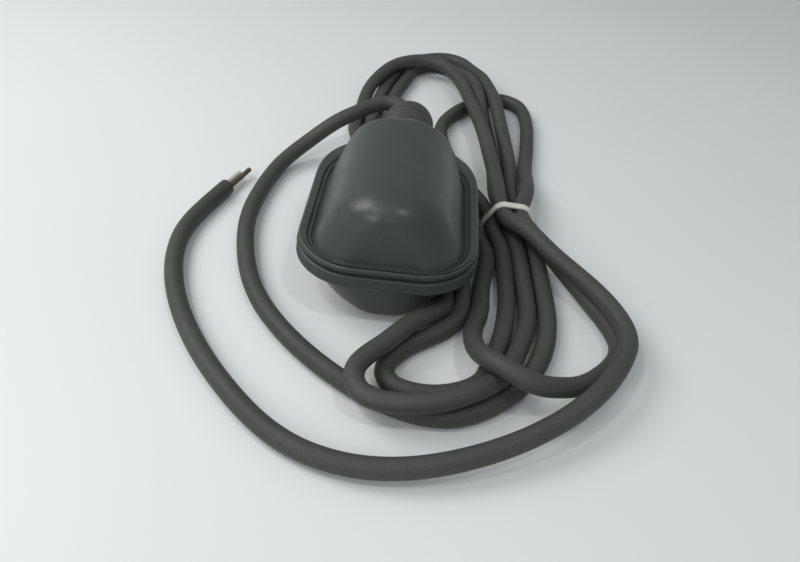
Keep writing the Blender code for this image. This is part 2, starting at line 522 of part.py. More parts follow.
# Route of the free cable, from the gland's mouth to its cut end, in millimetres. The float lies on the
# same surface. LIE is the height of the centre line where the cable lies on it, TIED under the tie.
LIE = 5.05
TIED = LIE + 1.75
ROUTE = [
    # out of the gland, down and round the left side, and back to the tie
    (-1.6, 104.9, 32.55), (-2.9, 110.8, 32.5), (-7, 116.6, 32.1), (-13.5, 119, 31.2), (-20.5, 117.2, 30.2),
    (-27, 112.8, 29.1), (-33.5, 107.5, 27.6), (-43, 101, 24.5), (-59.5, 90, 14.8), (-74.8, 71.5, 6.8),
    (-81.3, 45, LIE), (-82.8, 12.4, LIE), (-77, -19.3, LIE), (-64.3, -51, LIE), (-44, -77.5, LIE),
    (-18, -99.5, LIE), (10, -114.3, LIE), (36, -117.3, LIE), (57, -106.2, LIE), (74.4, -86.3, LIE),
    (84.3, -55, LIE), (84, -20, LIE), (81.6, 8, TIED - 0.3), (77.2, 30, TIED),
    # outer arc of the hank, then below the top strand, under the float and into the inner front loop
    (74.9, 44, LIE + 1.4), (71.8, 58, LIE + 0.3), (70.6, 75, LIE), (71, 97, LIE + 0.8), (68.4, 125.5, LIE + 4),
    (65, 150, LIE + 8), (61, 181, LIE + 9.9), (57.8, 195, LIE + 9.9), (54.3, 212, LIE + 8.3),
    (49.3, 231, LIE + 4.5), (44.5, 246, LIE + 1.5), (37.3, 259.5, LIE), (26.4, 264, LIE), (14.5, 261.5, LIE),
    (4, 255.5, LIE), (-6, 245, LIE), (-13, 229.5, LIE), (-17.5, 213, LIE), (-20.7, 197, LIE), (-23.1, 178, LIE),
    (-24.8, 160, LIE), (-25.6, 139, LIE), (-17, 111, LIE), (3, 86.5, LIE), (17.5, 71.5, LIE + 0.8),
    (26.5, 61, LIE + 4.5), (33, 50.5, LIE + 7.4), (36.8, 40, LIE + 7.7), (38.1, 30, LIE + 7),
    (39.3, 20, LIE + 5.6), (40.4, 9, LIE + 1.8), (40.7, -8, LIE), (40.6, -26, LIE), (40.9, -39, LIE),
    (40.1, -48, LIE), (37, -57, LIE), (27.5, -67.3, LIE), (15.6, -76.9, LIE), (8.2, -86, LIE),
    (5.5, -94, LIE), (8.3, -101, LIE), (17, -105.2, LIE), (29, -105.6, LIE), (40.5, -102, LIE),
    (49.8, -95.2, LIE), (54.5, -85, LIE), (58, -74.5, LIE), (62, -58, LIE), (63.9, -42, LIE), (64.2, -12, LIE),
    (61.4, 12, TIED - 0.3), (58.4, 22, TIED), (57.8, 30, TIED),
    # small loop behind the tie
    (56, 40, LIE + 0.5), (51.7, 52, LIE), (45, 65, LIE), (38.5, 79, LIE), (31, 101, LIE), (25.8, 122, LIE),
    (24.6, 142, LIE), (31.5, 163, LIE), (41, 177.5, LIE), (56, 191, LIE), (71, 197, LIE), (81, 190.5, LIE),
    (85.9, 175.5, LIE), (86.9, 158, LIE), (86, 140, LIE), (84, 117, LIE), (81.6, 93, LIE + 0.5),
    (80.8, 75, LIE + 4), (79, 58, LIE + 8.5), (75.9, 43, LIE + 10.9), (73, 30, TIED + 8.7),
    # right front loop, over the other strands and beside the float
    (77.8, 13, LIE + 11.2), (84.6, 0, LIE + 10.5), (93.5, -11.5, LIE + 6.5), (103, -23.5, LIE + 2.5),
    (111, -35.5, LIE + 0.2), (117.2, -50, LIE), (118.9, -62, LIE), (115.3, -72.5, LIE), (106.5, -83.5, LIE + 1),
    (94.3, -95.8, LIE + 6), (81.4, -103.7, LIE + 12), (69.5, -107.3, LIE + 17.4), (59.6, -103, LIE + 18.8),
    (51.2, -94.3, LIE + 15.5), (46.4, -80.6, LIE + 8.2), (46.3, -64.5, LIE + 3.6), (50, -48, LIE + 0.5),
    (51, -31, LIE), (53.4, -14, LIE), (54, 0, LIE), (51, 11, LIE), (47, 21, LIE), (45.2, 30, LIE),
    # inner arc, the other way round
    (44, 39, LIE), (40.3, 50.5, LIE), (34.3, 64, LIE), (26, 78, LIE), (12, 92.5, LIE), (-6.5, 120, LIE),
    (-13.6, 145, LIE), (-14.5, 163, LIE), (-12.5, 183, LIE), (-9.3, 201, LIE), (-5.2, 218, LIE), (-1, 234, LIE),
    (8.5, 245, LIE), (22, 246, LIE), (33.5, 237, LIE + 0.8), (41, 224, LIE + 4), (45.2, 206, LIE + 8.4),
    (49.1, 190, LIE + 10), (51.4, 178, LIE + 8.2), (53.4, 166, LIE + 4.6), (56.3, 146, LIE + 1.6),
    (59, 122, LIE + 0.3), (60.6, 98, LIE), (60.9, 76, LIE), (61.8, 60, LIE + 0.4), (65.1, 45, LIE + 1.6),
    (67.5, 30, TIED),
    # upper front loop and along the float
    (71.7, 10, TIED - 0.3), (74, -18, LIE + 0.1), (73.7, -54, LIE), (67.8, -75, LIE + 2),
    (58.5, -97, LIE + 7.3), (42, -112, LIE + 9.9), (29, -118, LIE + 9.9), (16.3, -120.5, LIE + 9.9),
    (4.5, -120.3, LIE + 9.9), (-3, -116.8, LIE + 9.9), (-6.8, -110.5, LIE + 9.9), (-7, -103.5, LIE + 9.9),
    (-3.5, -96.2, LIE + 9.9), (4.1, -86.8, LIE + 9.9), (14.2, -72.5, LIE + 9.2), (22, -63, LIE + 7.5),
    (28.4, -55.6, LIE + 5.4), (31.8, -47, LIE + 2.5), (31.6, -38, LIE + 0.5), (31.3, -26, LIE), (31.2, 6, LIE),
    (31.7, 26, LIE), (31.4, 37, LIE), (27.2, 48, LIE), (18, 57, LIE), (6, 67.5, LIE), (-8, 81, LIE),
    (-27.3, 105, LIE), (-36, 129, LIE), (-34.5, 160, LIE + 0.2),
    # top strand of the arc
    (-32.4, 183, LIE + 3.5), (-24.9, 201, LIE + 8.2), (-13.6, 220.5, LIE + 9.7), (-3.8, 229, LIE + 9.7),
    (6.8, 233, LIE + 9.7), (17.4, 231, LIE + 9.7), (28.1, 219, LIE + 9.8), (36.8, 199, LIE + 9.9),
    (43.3, 172, LIE + 10.2), (51.3, 135, LIE + 9.9), (55.8, 103, LIE + 9.7), (59.6, 68.6, LIE + 9.7),
    (61.2, 45, LIE + 10.4), (62.7, 30, TIED + 8.7),
    # over the other strands and round the front to the cut end
    (66.8, 16, LIE + 13.8), (75.5, 1.5, LIE + 18.2), (85, -10.5, LIE + 16.5), (97.5, -22, LIE + 13.2),
    (109.5, -35, LIE + 11), (117.8, -50.3, LIE + 10), (120.2, -66.7, LIE + 9.9), (114.9, -81.4, LIE + 9.9),
    (104.6, -97.8, LIE + 9.9), (79, -122, LIE + 7.5), (46, -140, LIE + 4.8), (8, -148.5, LIE + 2),
    (-28, -141, LIE), (-60, -117.3, LIE), (-88.5, -83, LIE), (-109.2, -41, LIE), (-114, -6, LIE),
    (-109.3, 17, LIE), (-102.5, 38.5, LIE),
]


def smooth_curve(points, steps):
    """Natural cubic spline through the points, with steps samples between neighbours."""
    points = np.array(points, float)
    knots = np.concatenate([[0], np.cumsum(np.linalg.norm(np.diff(points, axis=0), axis=1))])
    span = np.diff(knots)
    count = len(points)
    system, right = np.eye(count), np.zeros((count, 3))
    for i in range(1, count - 1):
        system[i, i - 1:i + 2] = span[i - 1], 2 * (span[i - 1] + span[i]), span[i]
        right[i] = 6 * ((points[i + 1] - points[i]) / span[i] - (points[i] - points[i - 1]) / span[i - 1])
    second = np.linalg.solve(system, right)
    samples = []
    for i in range(count - 1):
        for s in np.arange(steps) / steps * span[i]:
            slope = (points[i + 1] - points[i]) / span[i] - span[i] * (2 * second[i] + second[i + 1]) / 6
            samples.append(points[i] + slope * s + second[i] / 2 * s ** 2
                           + (second[i + 1] - second[i]) / (6 * span[i]) * s ** 3)
    samples.append(points[-1])
    return np.array(samples)


def thinned(samples, turn_deg, bow):
    """Keep a sample when the line has turned by turn_deg since the last one kept, or would bow out from
    the chord by more than bow. The first few samples stay, so that the end face is square to the line."""
    kept = [0, THINNING_START]
    heading = samples[kept[-1] + 1] - samples[kept[-1]]
    for k in range(kept[-1] + 2, len(samples) - 1):
        ahead, chord = samples[k + 1] - samples[k], samples[k + 1] - samples[kept[-1]]
        cosine = np.dot(heading, ahead) / np.linalg.norm(heading) / np.linalg.norm(ahead)
        along = chord / np.linalg.norm(chord)
        passed = samples[kept[-1]:k + 1] - samples[kept[-1]]
        off = np.linalg.norm(passed - np.outer(passed @ along, along), axis=1)
        if math.degrees(math.acos(min(max(cosine, -1), 1))) > turn_deg or off.max() > bow:
            kept.append(k)
            heading = ahead
    return samples[kept + [len(samples) - 1]]


def free_cable(mat):
    route = thinned(smooth_curve(ROUTE, 12) * MM, CORD_TURN, CORD_BOW)
    round_tube("cord", route, CORD_DIAMETER, mat)
    return route


def core_tails(route, dark, pale):
    """Two cores that stick out of the cut end, side by side, the pale one cut shorter."""
    end = Vector(route[-1])
    ahead = (end - Vector(route[-2])).normalized()
    aside = ahead.cross(Vector((0, 0, 1))).normalized()
    for name, mat, offset, length in (("tail_dark", dark, 1.4 * MM, 23 * MM), ("tail_pale", pale, -1.9 * MM, 17 * MM)):
        start = end + ahead * GAP + aside * offset
        bow = aside * offset * 0.12
        points = [start, start + ahead * length * 0.5 + bow, start + ahead * length]
        round_tube(name, points, CORE_DIAMETER, mat)


def hull(points):
    """Convex hull of points in a plane, anticlockwise."""
    points = sorted(set(points))

    def chain(sequence):
        kept = []
        for p in sequence:
            while len(kept) > 1 and ((kept[-1][0] - kept[-2][0]) * (p[1] - kept[-2][1])
                                     - (kept[-1][1] - kept[-2][1]) * (p[0] - kept[-2][0])) <= 0:
                kept.pop()
            kept.append(p)
        return kept[:-1]

    return chain(points) + chain(points[::-1])


def cable_tie(route, mat):
    """A flat band pulled tight round the strands that pass under it, with its locking head and its tail."""
    reach = CORD_DIAMETER / 2 + GAP
    angles = np.arange(16) * math.pi / 8
    rim = []
    beside_float = FLANGE_WIDTH / 2 + CORD_DIAMETER / 2
    for start, end in zip(route, route[1:]):
        for y in (TIE_Y - TIE_WIDTH / 2, TIE_Y + TIE_WIDTH / 2):
            if (start[1] - y) * (end[1] - y) < 0:
                x, _, z = start + (end - start) * (y - start[1]) / (end[1] - start[1])
                rim += [(x + reach * math.cos(a), z + reach * math.sin(a)) for a in angles if x > beside_float]
    loop = hull(rim)
    bm = bmesh.new()
    rings = []
    for k, point in enumerate(loop):
        along = np.subtract(loop[(k + 1) % len(loop)], loop[k - 1])
        out = np.array((along[1], -along[0])) / np.linalg.norm(along)
        far = np.array(point) + out * TIE_THICKNESS
        rings.append([Vector((p[0], TIE_Y + w, p[1])) for p, w in ((point, -TIE_WIDTH / 2), (far, -TIE_WIDTH / 2),
                                                                   (far, TIE_WIDTH / 2), (point, TIE_WIDTH / 2))])
    loft(bm, rings, closed=True)
    finish_mesh("cable_tie", bm, mat)


# ---------------------------------------------------------------- switch capsule
def rounded_rectangle(half_x, front, rear, radius, z, steps=4):
    points = []
    for cx, cy, first in ((half_x - radius, rear - radius, 0), (radius - half_x, rear - radius, 90),
                          (radius - half_x, front + radius, 180), (half_x - radius, front + radius, 270)):
        for k in range(steps + 1):
            angle = math.radians(first + 90 * k / steps)
            points.append(Vector((cx + radius * math.cos(angle), cy + radius * math.sin(angle), z)))
    return points


def capsule_ring(inset, z):
    return rounded_rectangle(CAPSULE_WIDTH / 2 - inset, CAPSULE_FRONT_Y + inset, CAPSULE_REAR_Y - inset,
                             CAPSULE_CORNER - inset, z)


def tub(name, closed_z, open_z, mat):
    """Half of the capsule: closed and chamfered at closed_z, open at open_z."""
    up = 1 if open_z > closed_z else -1
    chamfer = 0.8 * MM
    bm = bmesh.new()
    loft(bm, [capsule_ring(chamfer, closed_z), capsule_ring(0, closed_z + up * chamfer), capsule_ring(0, open_z),
              capsule_ring(CAPSULE_WALL, open_z), capsule_ring(CAPSULE_WALL, closed_z + up * CAPSULE_WALL)])
    return finish_mesh(name, bm, mat)


def capsule_screw_places():
    x = CAPSULE_WIDTH / 2 - SCREW_BOSS_INSET
    return [(sx * x, y) for sx in (-1, 1)
            for y in (CAPSULE_FRONT_Y + SCREW_BOSS_INSET, CAPSULE_REAR_Y - SCREW_BOSS_INSET)]


def capsule(base_mat, lid_mat, seal_mat, screw_mat):
    base = tub("capsule_base", CAPSULE_BOTTOM, CAPSULE_SPLIT_Z, base_mat)
    lid = tub("capsule_lid", CAPSULE_TOP, CAPSULE_LID_Z, lid_mat)
    base_boss_top = CAPSULE_SPLIT_Z - GAP
    lid_boss_bottom = CAPSULE_LID_Z + GAP
    shank_z = CAPSULE_SPLIT_Z - SCREW_GRIP
    for k, (x, y) in enumerate(capsule_screw_places()):
        lower_z, upper_z = CAPSULE_BOTTOM + CAPSULE_WALL / 2, CAPSULE_TOP - CAPSULE_WALL / 2
        boss = [(0, SCREW_BOSS_RADIUS), (base_boss_top - lower_z, SCREW_BOSS_RADIUS)]
        boolean(base, turned_object(f"base_boss_{k}", (x, y, lower_z), (0, 0, 1), boss, 12), "UNION")
        boss = [(0, SCREW_BOSS_RADIUS), (upper_z - lid_boss_bottom, SCREW_BOSS_RADIUS)]
        boolean(lid, turned_object(f"lid_boss_{k}", (x, y, lid_boss_bottom), (0, 0, 1), boss, 12), "UNION")
        hole = [(0, SCREW_RADIUS + GAP), (CAPSULE_TOP + MM - shank_z, SCREW_RADIUS + GAP)]
        tool = turned_object(f"screw_hole_{k}", (x, y, shank_z - GAP), (0, 0, 1), hole, 10)
        boolean(base, tool)
        boolean(lid, tool)
        screw(f"capsule_screw_{k + 1}", (x, y, CAPSULE_TOP + GAP), (0, 0, -1), CAPSULE_TOP + GAP - shank_z, screw_mat)

    bm = bmesh.new()
    low, high = CAPSULE_SPLIT_Z + GAP, CAPSULE_SPLIT_Z + GAP + CAPSULE_SEAL
    loft(bm, [capsule_ring(GAP, low), capsule_ring(GAP, high), capsule_ring(CAPSULE_WALL - GAP, high),
              capsule_ring(CAPSULE_WALL - GAP, low)], closed=True)
    finish_mesh("capsule_seal", bm, seal_mat)
    return base


def base_fittings(base):
    """Ears for the rocker's pin, stops under its ends and the microswitch's bracket, moulded into the base."""
    root = CAPSULE_FLOOR_Z - CAPSULE_WALL / 2
    for side in (-1, 1):
        inner, outer = ROCKER_HALF_WIDTH + RUNNING_GAP, ROCKER_HALF_WIDTH + RUNNING_GAP + EAR_THICKNESS
        profile = [(-EAR_LENGTH / 2, root), (EAR_LENGTH / 2, root)]
        for k in range(7):
            angle = math.pi * k / 6
            profile.append((EAR_LENGTH / 2 * math.cos(angle), ROCKER_PIVOT_Z + EAR_LENGTH / 2 * math.sin(angle)))
        bm = bmesh.new()
        loft(bm, [[Vector((side * x, ROCKER_PIVOT_Y + y, z)) for y, z in profile] for x in (inner, outer)])
        boolean(base, finish_mesh(f"ear_{side}", bm), "UNION")
    pin_hole = PIN_RADIUS + GAP
    reach = ROCKER_HALF_WIDTH + 2 * EAR_THICKNESS
    boolean(base, turned_object("pin_hole", PIVOT - Vector((reach, 0, 0)), (1, 0, 0),
                                [(0, pin_hole), (2 * reach, pin_hole)], 16))

    end = ROCKER_LENGTH / 2
    underside = end * math.sin(ROCKER_TILT) - ROCKER_FLOOR_RISE * math.cos(ROCKER_TILT)
    stop_top = ROCKER_PIVOT_Z - underside - GAP
    for toward in (-1, 1):
        tip_y = ROCKER_PIVOT_Y + toward * end
        for side in (-1, 1):
            bm = bmesh.new()
            near_x, far_x = side * (STOP_X - STOP_WIDTH / 2), side * (STOP_X + STOP_WIDTH / 2)
            add_box(bm, (min(near_x, far_x), tip_y - STOP_THICKNESS / 2, root),
                    (max(near_x, far_x), tip_y + STOP_THICKNESS / 2, stop_top))
            boolean(base, finish_mesh(f"stop_{toward}_{side}", bm), "UNION")

    bracket_x = SWITCH_WIDTH / 2 + GAP
    bm = bmesh.new()
    add_box(bm, (bracket_x, SWITCH_FRONT_Y, root),
            (bracket_x + BRACKET_THICKNESS, SWITCH_REAR_Y, CAPSULE_FLOOR_Z + BRACKET_HEIGHT))
    boolean(base, finish_mesh("switch_bracket", bm), "UNION")
    for k, y in enumerate(SWITCH_HOLES_Y):
        hole = [(0, SCREW_RADIUS + GAP), (BRACKET_THICKNESS + 2 * MM, SCREW_RADIUS + GAP)]
        boolean(base, turned_object(f"bracket_hole_{k}", (bracket_x - MM, y, SWITCH_Z + SWITCH_HOLE_Z),
                                    (1, 0, 0), hole, 10))
    hole = [(-MM, GROMMET_RADIUS), (CAPSULE_WALL + MM, GROMMET_RADIUS)]
    boolean(base, turned_object("grommet_hole", (0, CAPSULE_REAR_Y - CAPSULE_WALL, GROMMET_Z), (0, 1, 0), hole, 20))


def rocker_and_ball(rocker_mat, pin_mat, ball_mat):
    half, low = ROCKER_LENGTH / 2, ROCKER_FLOOR_RISE
    high = low + ROCKER_SIDE_HEIGHT

    def ring(inset, z):
        return rounded_rectangle(ROCKER_HALF_WIDTH - inset, inset - half, half - inset, ROCKER_CORNER - inset, z, 3)

    bm = bmesh.new()
    loft(bm, [ring(0, low), ring(0, high), ring(ROCKER_WALL, high), ring(ROCKER_WALL, low + ROCKER_FLOOR)])
    rocker = finish_mesh("rocker", bm, rocker_mat)
    rocker.location = PIVOT
    rocker.rotation_euler.x = -ROCKER_TILT
    for side in (-1, 1):
        inner = side * (ROCKER_HALF_WIDTH - GAP - ROCKER_HUB_LENGTH)
        hub = turned_object(f"hub_{side}", (inner, 0, 0), (side, 0, 0),
                            [(0, ROCKER_HUB_RADIUS), (ROCKER_HUB_LENGTH, ROCKER_HUB_RADIUS)], 16, parent=rocker)
        boolean(rocker, hub, "UNION")
    bore = PIN_RADIUS + RUNNING_GAP
    hole = turned_object("hub_bore", (-ROCKER_HALF_WIDTH, 0, 0), (1, 0, 0),
                         [(0, bore), (2 * ROCKER_HALF_WIDTH, bore)], 16, parent=rocker)
    boolean(rocker, hole)

    pin_half = ROCKER_HALF_WIDTH + RUNNING_GAP + EAR_THICKNESS
    turned_object("rocker_pin", PIVOT - Vector((pin_half, 0, 0)), (1, 0, 0),
                  [(0, PIN_RADIUS), (2 * pin_half, PIN_RADIUS)], 16, pin_mat)

    bm = bmesh.new()
    bmesh.ops.create_uvsphere(bm, u_segments=20, v_segments=12, radius=BALL_DIAMETER / 2)
    ball = finish_mesh("steel_ball", bm, ball_mat, parent=rocker, sharp_deg=60)
    ball.location = (0, BALL_REST, BALL_RISE)


# ---------------------------------------------------------------- microswitch
def terminal_z(k):
    return SWITCH_Z + TERMINAL_LOWEST + k * TERMINAL_PITCH


def microswitch(case_mat, cover_mat, screw_mat, plunger_mat, blade_mat, sleeve_mat):
    right, left = SWITCH_WIDTH / 2, -SWITCH_WIDTH / 2
    cover_x = left + SWITCH_WALL
    bm = bmesh.new()
    add_box(bm, (cover_x + GAP, SWITCH_FRONT_Y, SWITCH_Z), (right, SWITCH_REAR_Y, SWITCH_TOP_Z))
    case = finish_mesh("microswitch_case", bm, case_mat)
    bm = bmesh.new()
    cavity_rear = SWITCH_REAR_Y - SWITCH_REAR_WALL
    add_box(bm, (cover_x - MM, SWITCH_FRONT_Y + SWITCH_WALL, SWITCH_Z + SWITCH_WALL),
            (right - SWITCH_WALL, cavity_rear, SWITCH_TOP_Z - SWITCH_WALL))
    boolean(case, finish_mesh("switch_cavity", bm))
    hole_z = SWITCH_Z + SWITCH_HOLE_Z
    boss = SCREW_RADIUS + GAP + 0.6 * MM
    for k, y in enumerate(SWITCH_HOLES_Y):
        length = right - SWITCH_WALL / 2 - cover_x - GAP
        boolean(case, turned_object(f"case_boss_{k}", (cover_x + GAP, y, hole_z), (1, 0, 0),
                                    [(0, boss), (length, boss)], 12), "UNION")
    for k, y in enumerate(SWITCH_HOLES_Y):
        hole = [(0, SCREW_RADIUS + GAP), (SWITCH_WIDTH + 2 * MM, SCREW_RADIUS + GAP)]
        boolean(case, turned_object(f"case_hole_{k}", (left - MM, y, hole_z), (1, 0, 0), hole, 10))
    hole = [(0, PLUNGER_RADIUS + RUNNING_GAP), (SWITCH_WALL + 2 * MM, PLUNGER_RADIUS + RUNNING_GAP)]
    boolean(case, turned_object("plunger_hole", (0, PLUNGER_Y, SWITCH_TOP_Z - SWITCH_WALL - MM), (0, 0, 1), hole, 16))

    half_w, half_t = TERMINAL_WIDTH / 2, TERMINAL_THICKNESS / 2
    for k in range(3):
        z = terminal_z(k)
        bm = bmesh.new()
        add_box(bm, (-half_w, SWITCH_REAR_Y - TERMINAL_ROOT, z - half_t),
                (half_w, SWITCH_REAR_Y + TERMINAL_LENGTH, z + half_t))
        finish_mesh(f"switch_terminal_{k + 1}", bm, blade_mat)
        bm = bmesh.new()
        add_box(bm, (-half_w - GAP, SWITCH_REAR_Y - TERMINAL_ROOT - GAP, z - half_t - GAP),
                (half_w + GAP, SWITCH_REAR_Y + MM, z + half_t + GAP))
        boolean(case, finish_mesh(f"terminal_slot_{k}", bm))
        bm = bmesh.new()
        sleeve_y = SWITCH_REAR_Y + 0.8 * MM
        inner_x, inner_z = half_w + GAP, half_t + GAP
        rings = [[Vector((sx * x, y, z + sz * h)) for sx, sz in ((-1, -1), (1, -1), (1, 1), (-1, 1))]
                 for x, h, y in ((inner_x + SLEEVE_WALL, inner_z + SLEEVE_WALL, sleeve_y),
                                 (inner_x + SLEEVE_WALL, inner_z + SLEEVE_WALL, sleeve_y + SLEEVE_LENGTH),
                                 (inner_x, inner_z, sleeve_y + SLEEVE_LENGTH), (inner_x, inner_z, sleeve_y))]
        loft(bm, rings, closed=True)
        finish_mesh(f"crimp_sleeve_{k + 1}", bm, sleeve_mat)

    bm = bmesh.new()
    add_box(bm, (left, SWITCH_FRONT_Y, SWITCH_Z), (cover_x, SWITCH_REAR_Y, SWITCH_TOP_Z))
    cover = finish_mesh("microswitch_cover", bm, cover_mat)
    screw_length = SWITCH_WIDTH + 2 * GAP + BRACKET_THICKNESS
    for k, y in enumerate(SWITCH_HOLES_Y):
        hole = [(0, SCREW_RADIUS + GAP), (SWITCH_WALL + 2 * MM, SCREW_RADIUS + GAP)]
        boolean(cover, turned_object(f"cover_hole_{k}", (left - MM, y, hole_z), (1, 0, 0), hole, 10))
        screw(f"microswitch_screw_{k + 1}", (left - GAP, y, hole_z), (1, 0, 0), screw_length, screw_mat)

    head_top = SWITCH_TOP_Z - SWITCH_WALL - GAP
    head_z = head_top - PLUNGER_HEAD
    tip = SWITCH_TOP_Z + PLUNGER_TIP - head_z
    bm = bmesh.new()
    turned(bm, (0, 0, 0), (0, 0, 1), [(0, PLUNGER_HEAD_RADIUS), (PLUNGER_HEAD, PLUNGER_HEAD_RADIUS),
                                      (PLUNGER_HEAD, PLUNGER_RADIUS), (tip - 0.4 * MM, PLUNGER_RADIUS),
                                      (tip, PLUNGER_RADIUS * 0.6)], 16)
    plunger = finish_mesh("plunger", bm, plunger_mat)
    plunger.location = (0, PLUNGER_Y, head_z)

    blade_z = head_z - PLUNGER_TRAVEL - GAP - BLADE_THICKNESS
    blade_rear = cavity_rear - GAP
    blade_front = SWITCH_FRONT_Y + SWITCH_WALL + GAP
    bm = bmesh.new()
    profile = [(blade_rear, blade_z), (blade_front + 3 * MM, blade_z), (blade_front, blade_z + 1.2 * MM)]
    rings = [[Vector((x, y, z + up)) for x, up in ((-BLADE_WIDTH / 2, 0), (BLADE_WIDTH / 2, 0),
                                                   (BLADE_WIDTH / 2, BLADE_THICKNESS), (-BLADE_WIDTH / 2, BLADE_THICKNESS))]
             for y, z in profile]
    loft(bm, rings)
    finish_mesh("snap_blade", bm, blade_mat)


# ---------------------------------------------------------------- leads, grommet, clamp
def lead_points(k):
    """From a crimp sleeve, under the rocker, through the grommet and up to the cut end of the sheath."""
    side = (1, -1, 0)[k]
    start_y = SWITCH_REAR_Y + 0.8 * MM + SLEEVE_LENGTH + GAP
    spread = side * 2.3 * MM
    rise = (-1.9, 0.3, 2.2)[k] * MM
    sheath_ring = 2.0 * MM
    angle = math.radians((-30, 210, 90)[k])
    ending = Vector((sheath_ring * math.cos(angle), SHEATH_INNER_Y - GAP, SEAM_Z + sheath_ring * math.sin(angle)))
    wall_y = CAPSULE_REAR_Y - CAPSULE_WALL / 2
    route = [(0, start_y, terminal_z(k)), (spread * 0.2, start_y + 2.5 * MM, terminal_z(k)),
             (spread, start_y + 10 * MM, terminal_z(k) + 0.2 * MM),
             (spread, wall_y - 8 * MM, terminal_z(k) + 1.4 * MM), (spread, wall_y, GROMMET_Z + rise),
             (spread * 0.95, wall_y + 5 * MM, GROMMET_Z + rise + 3.6 * MM)]
    points = [Vector(p) for p in smooth_curve(route + [ending - Vector((0, 1.5 * MM, 0))], 2)]
    return points + [ending]


def leads_and_grommet(colours, grommet_mat):
    for k, name in enumerate(("lead_blue", "lead_brown", "lead_black")):
        round_tube(name, lead_points(k), LEAD_DIAMETER, colours[name])
    neck = CAPSULE_WALL + 2 * GAP
    wide = GROMMET_RADIUS + GROMMET_FLANGE
    profile = [(-GROMMET_FLANGE, wide), (0, wide), (0, GROMMET_RADIUS - GAP), (neck, GROMMET_RADIUS - GAP),
               (neck, wide), (neck + GROMMET_FLANGE, wide)]
    place = (0, CAPSULE_REAR_Y - CAPSULE_WALL - GAP, GROMMET_Z)
    grommet = turned_object("lead_grommet", place, (0, 1, 0), profile, 20, grommet_mat)
    for k in range(3):
        bm = bmesh.new()
        sweep(bm, lead_points(k)[5:], LEAD_DIAMETER / 2 + GAP, 10)
        boolean(grommet, finish_mesh(f"lead_bore_{k}", bm))


def sheath_and_clamp(sheath_mat, clamp_mat, screw_mat):
    bm = bmesh.new()
    sweep(bm, gland_bore_points(SHEATH_INNER_Y, 0), CORD_DIAMETER / 2, CORD_SIDES)
    finish_mesh("sheath_end", bm, sheath_mat)

    inner, outer = CORD_DIAMETER / 2 + GAP, CORD_DIAMETER / 2 + GAP + CLAMP_WALL
    foot_x = SADDLE_HALF_WIDTH
    arc = [math.pi * k / 12 for k in range(13)]
    foot_top = math.asin(CLAMP_FOOT / outer)
    upper = [foot_top + (math.pi - 2 * foot_top) * k / 12 for k in range(13)]
    profile = [(foot_x, 0), (foot_x, CLAMP_FOOT)]
    profile += [(outer * math.cos(a), outer * math.sin(a)) for a in upper]
    profile += [(-foot_x, CLAMP_FOOT), (-foot_x, 0)]
    profile += [(inner * math.cos(a), inner * math.sin(a)) for a in arc[::-1]]
    bm = bmesh.new()
    loft(bm, [[Vector((x, CLAMP_Y + side * CLAMP_LENGTH / 2, SEAM_Z + GAP + z)) for x, z in profile]
              for side in (-1, 1)])
    clamp = finish_mesh("cable_clamp", bm, clamp_mat)
    for k, side in enumerate((-1, 1)):
        x = side * CLAMP_SCREW_X
        hole = [(0, SCREW_RADIUS + GAP), (CLAMP_FOOT + 2 * MM, SCREW_RADIUS + GAP)]
        boolean(clamp, turned_object(f"clamp_hole_{side}", (x, CLAMP_Y, SEAM_Z + GAP - MM), (0, 0, 1), hole, 10))
        screw(f"clamp_screw_{k + 1}", (x, CLAMP_Y, SEAM_Z + 2 * GAP + CLAMP_FOOT), (0, 0, -1),
              SCREW_GRIP + 2 * GAP + CLAMP_FOOT, screw_mat)


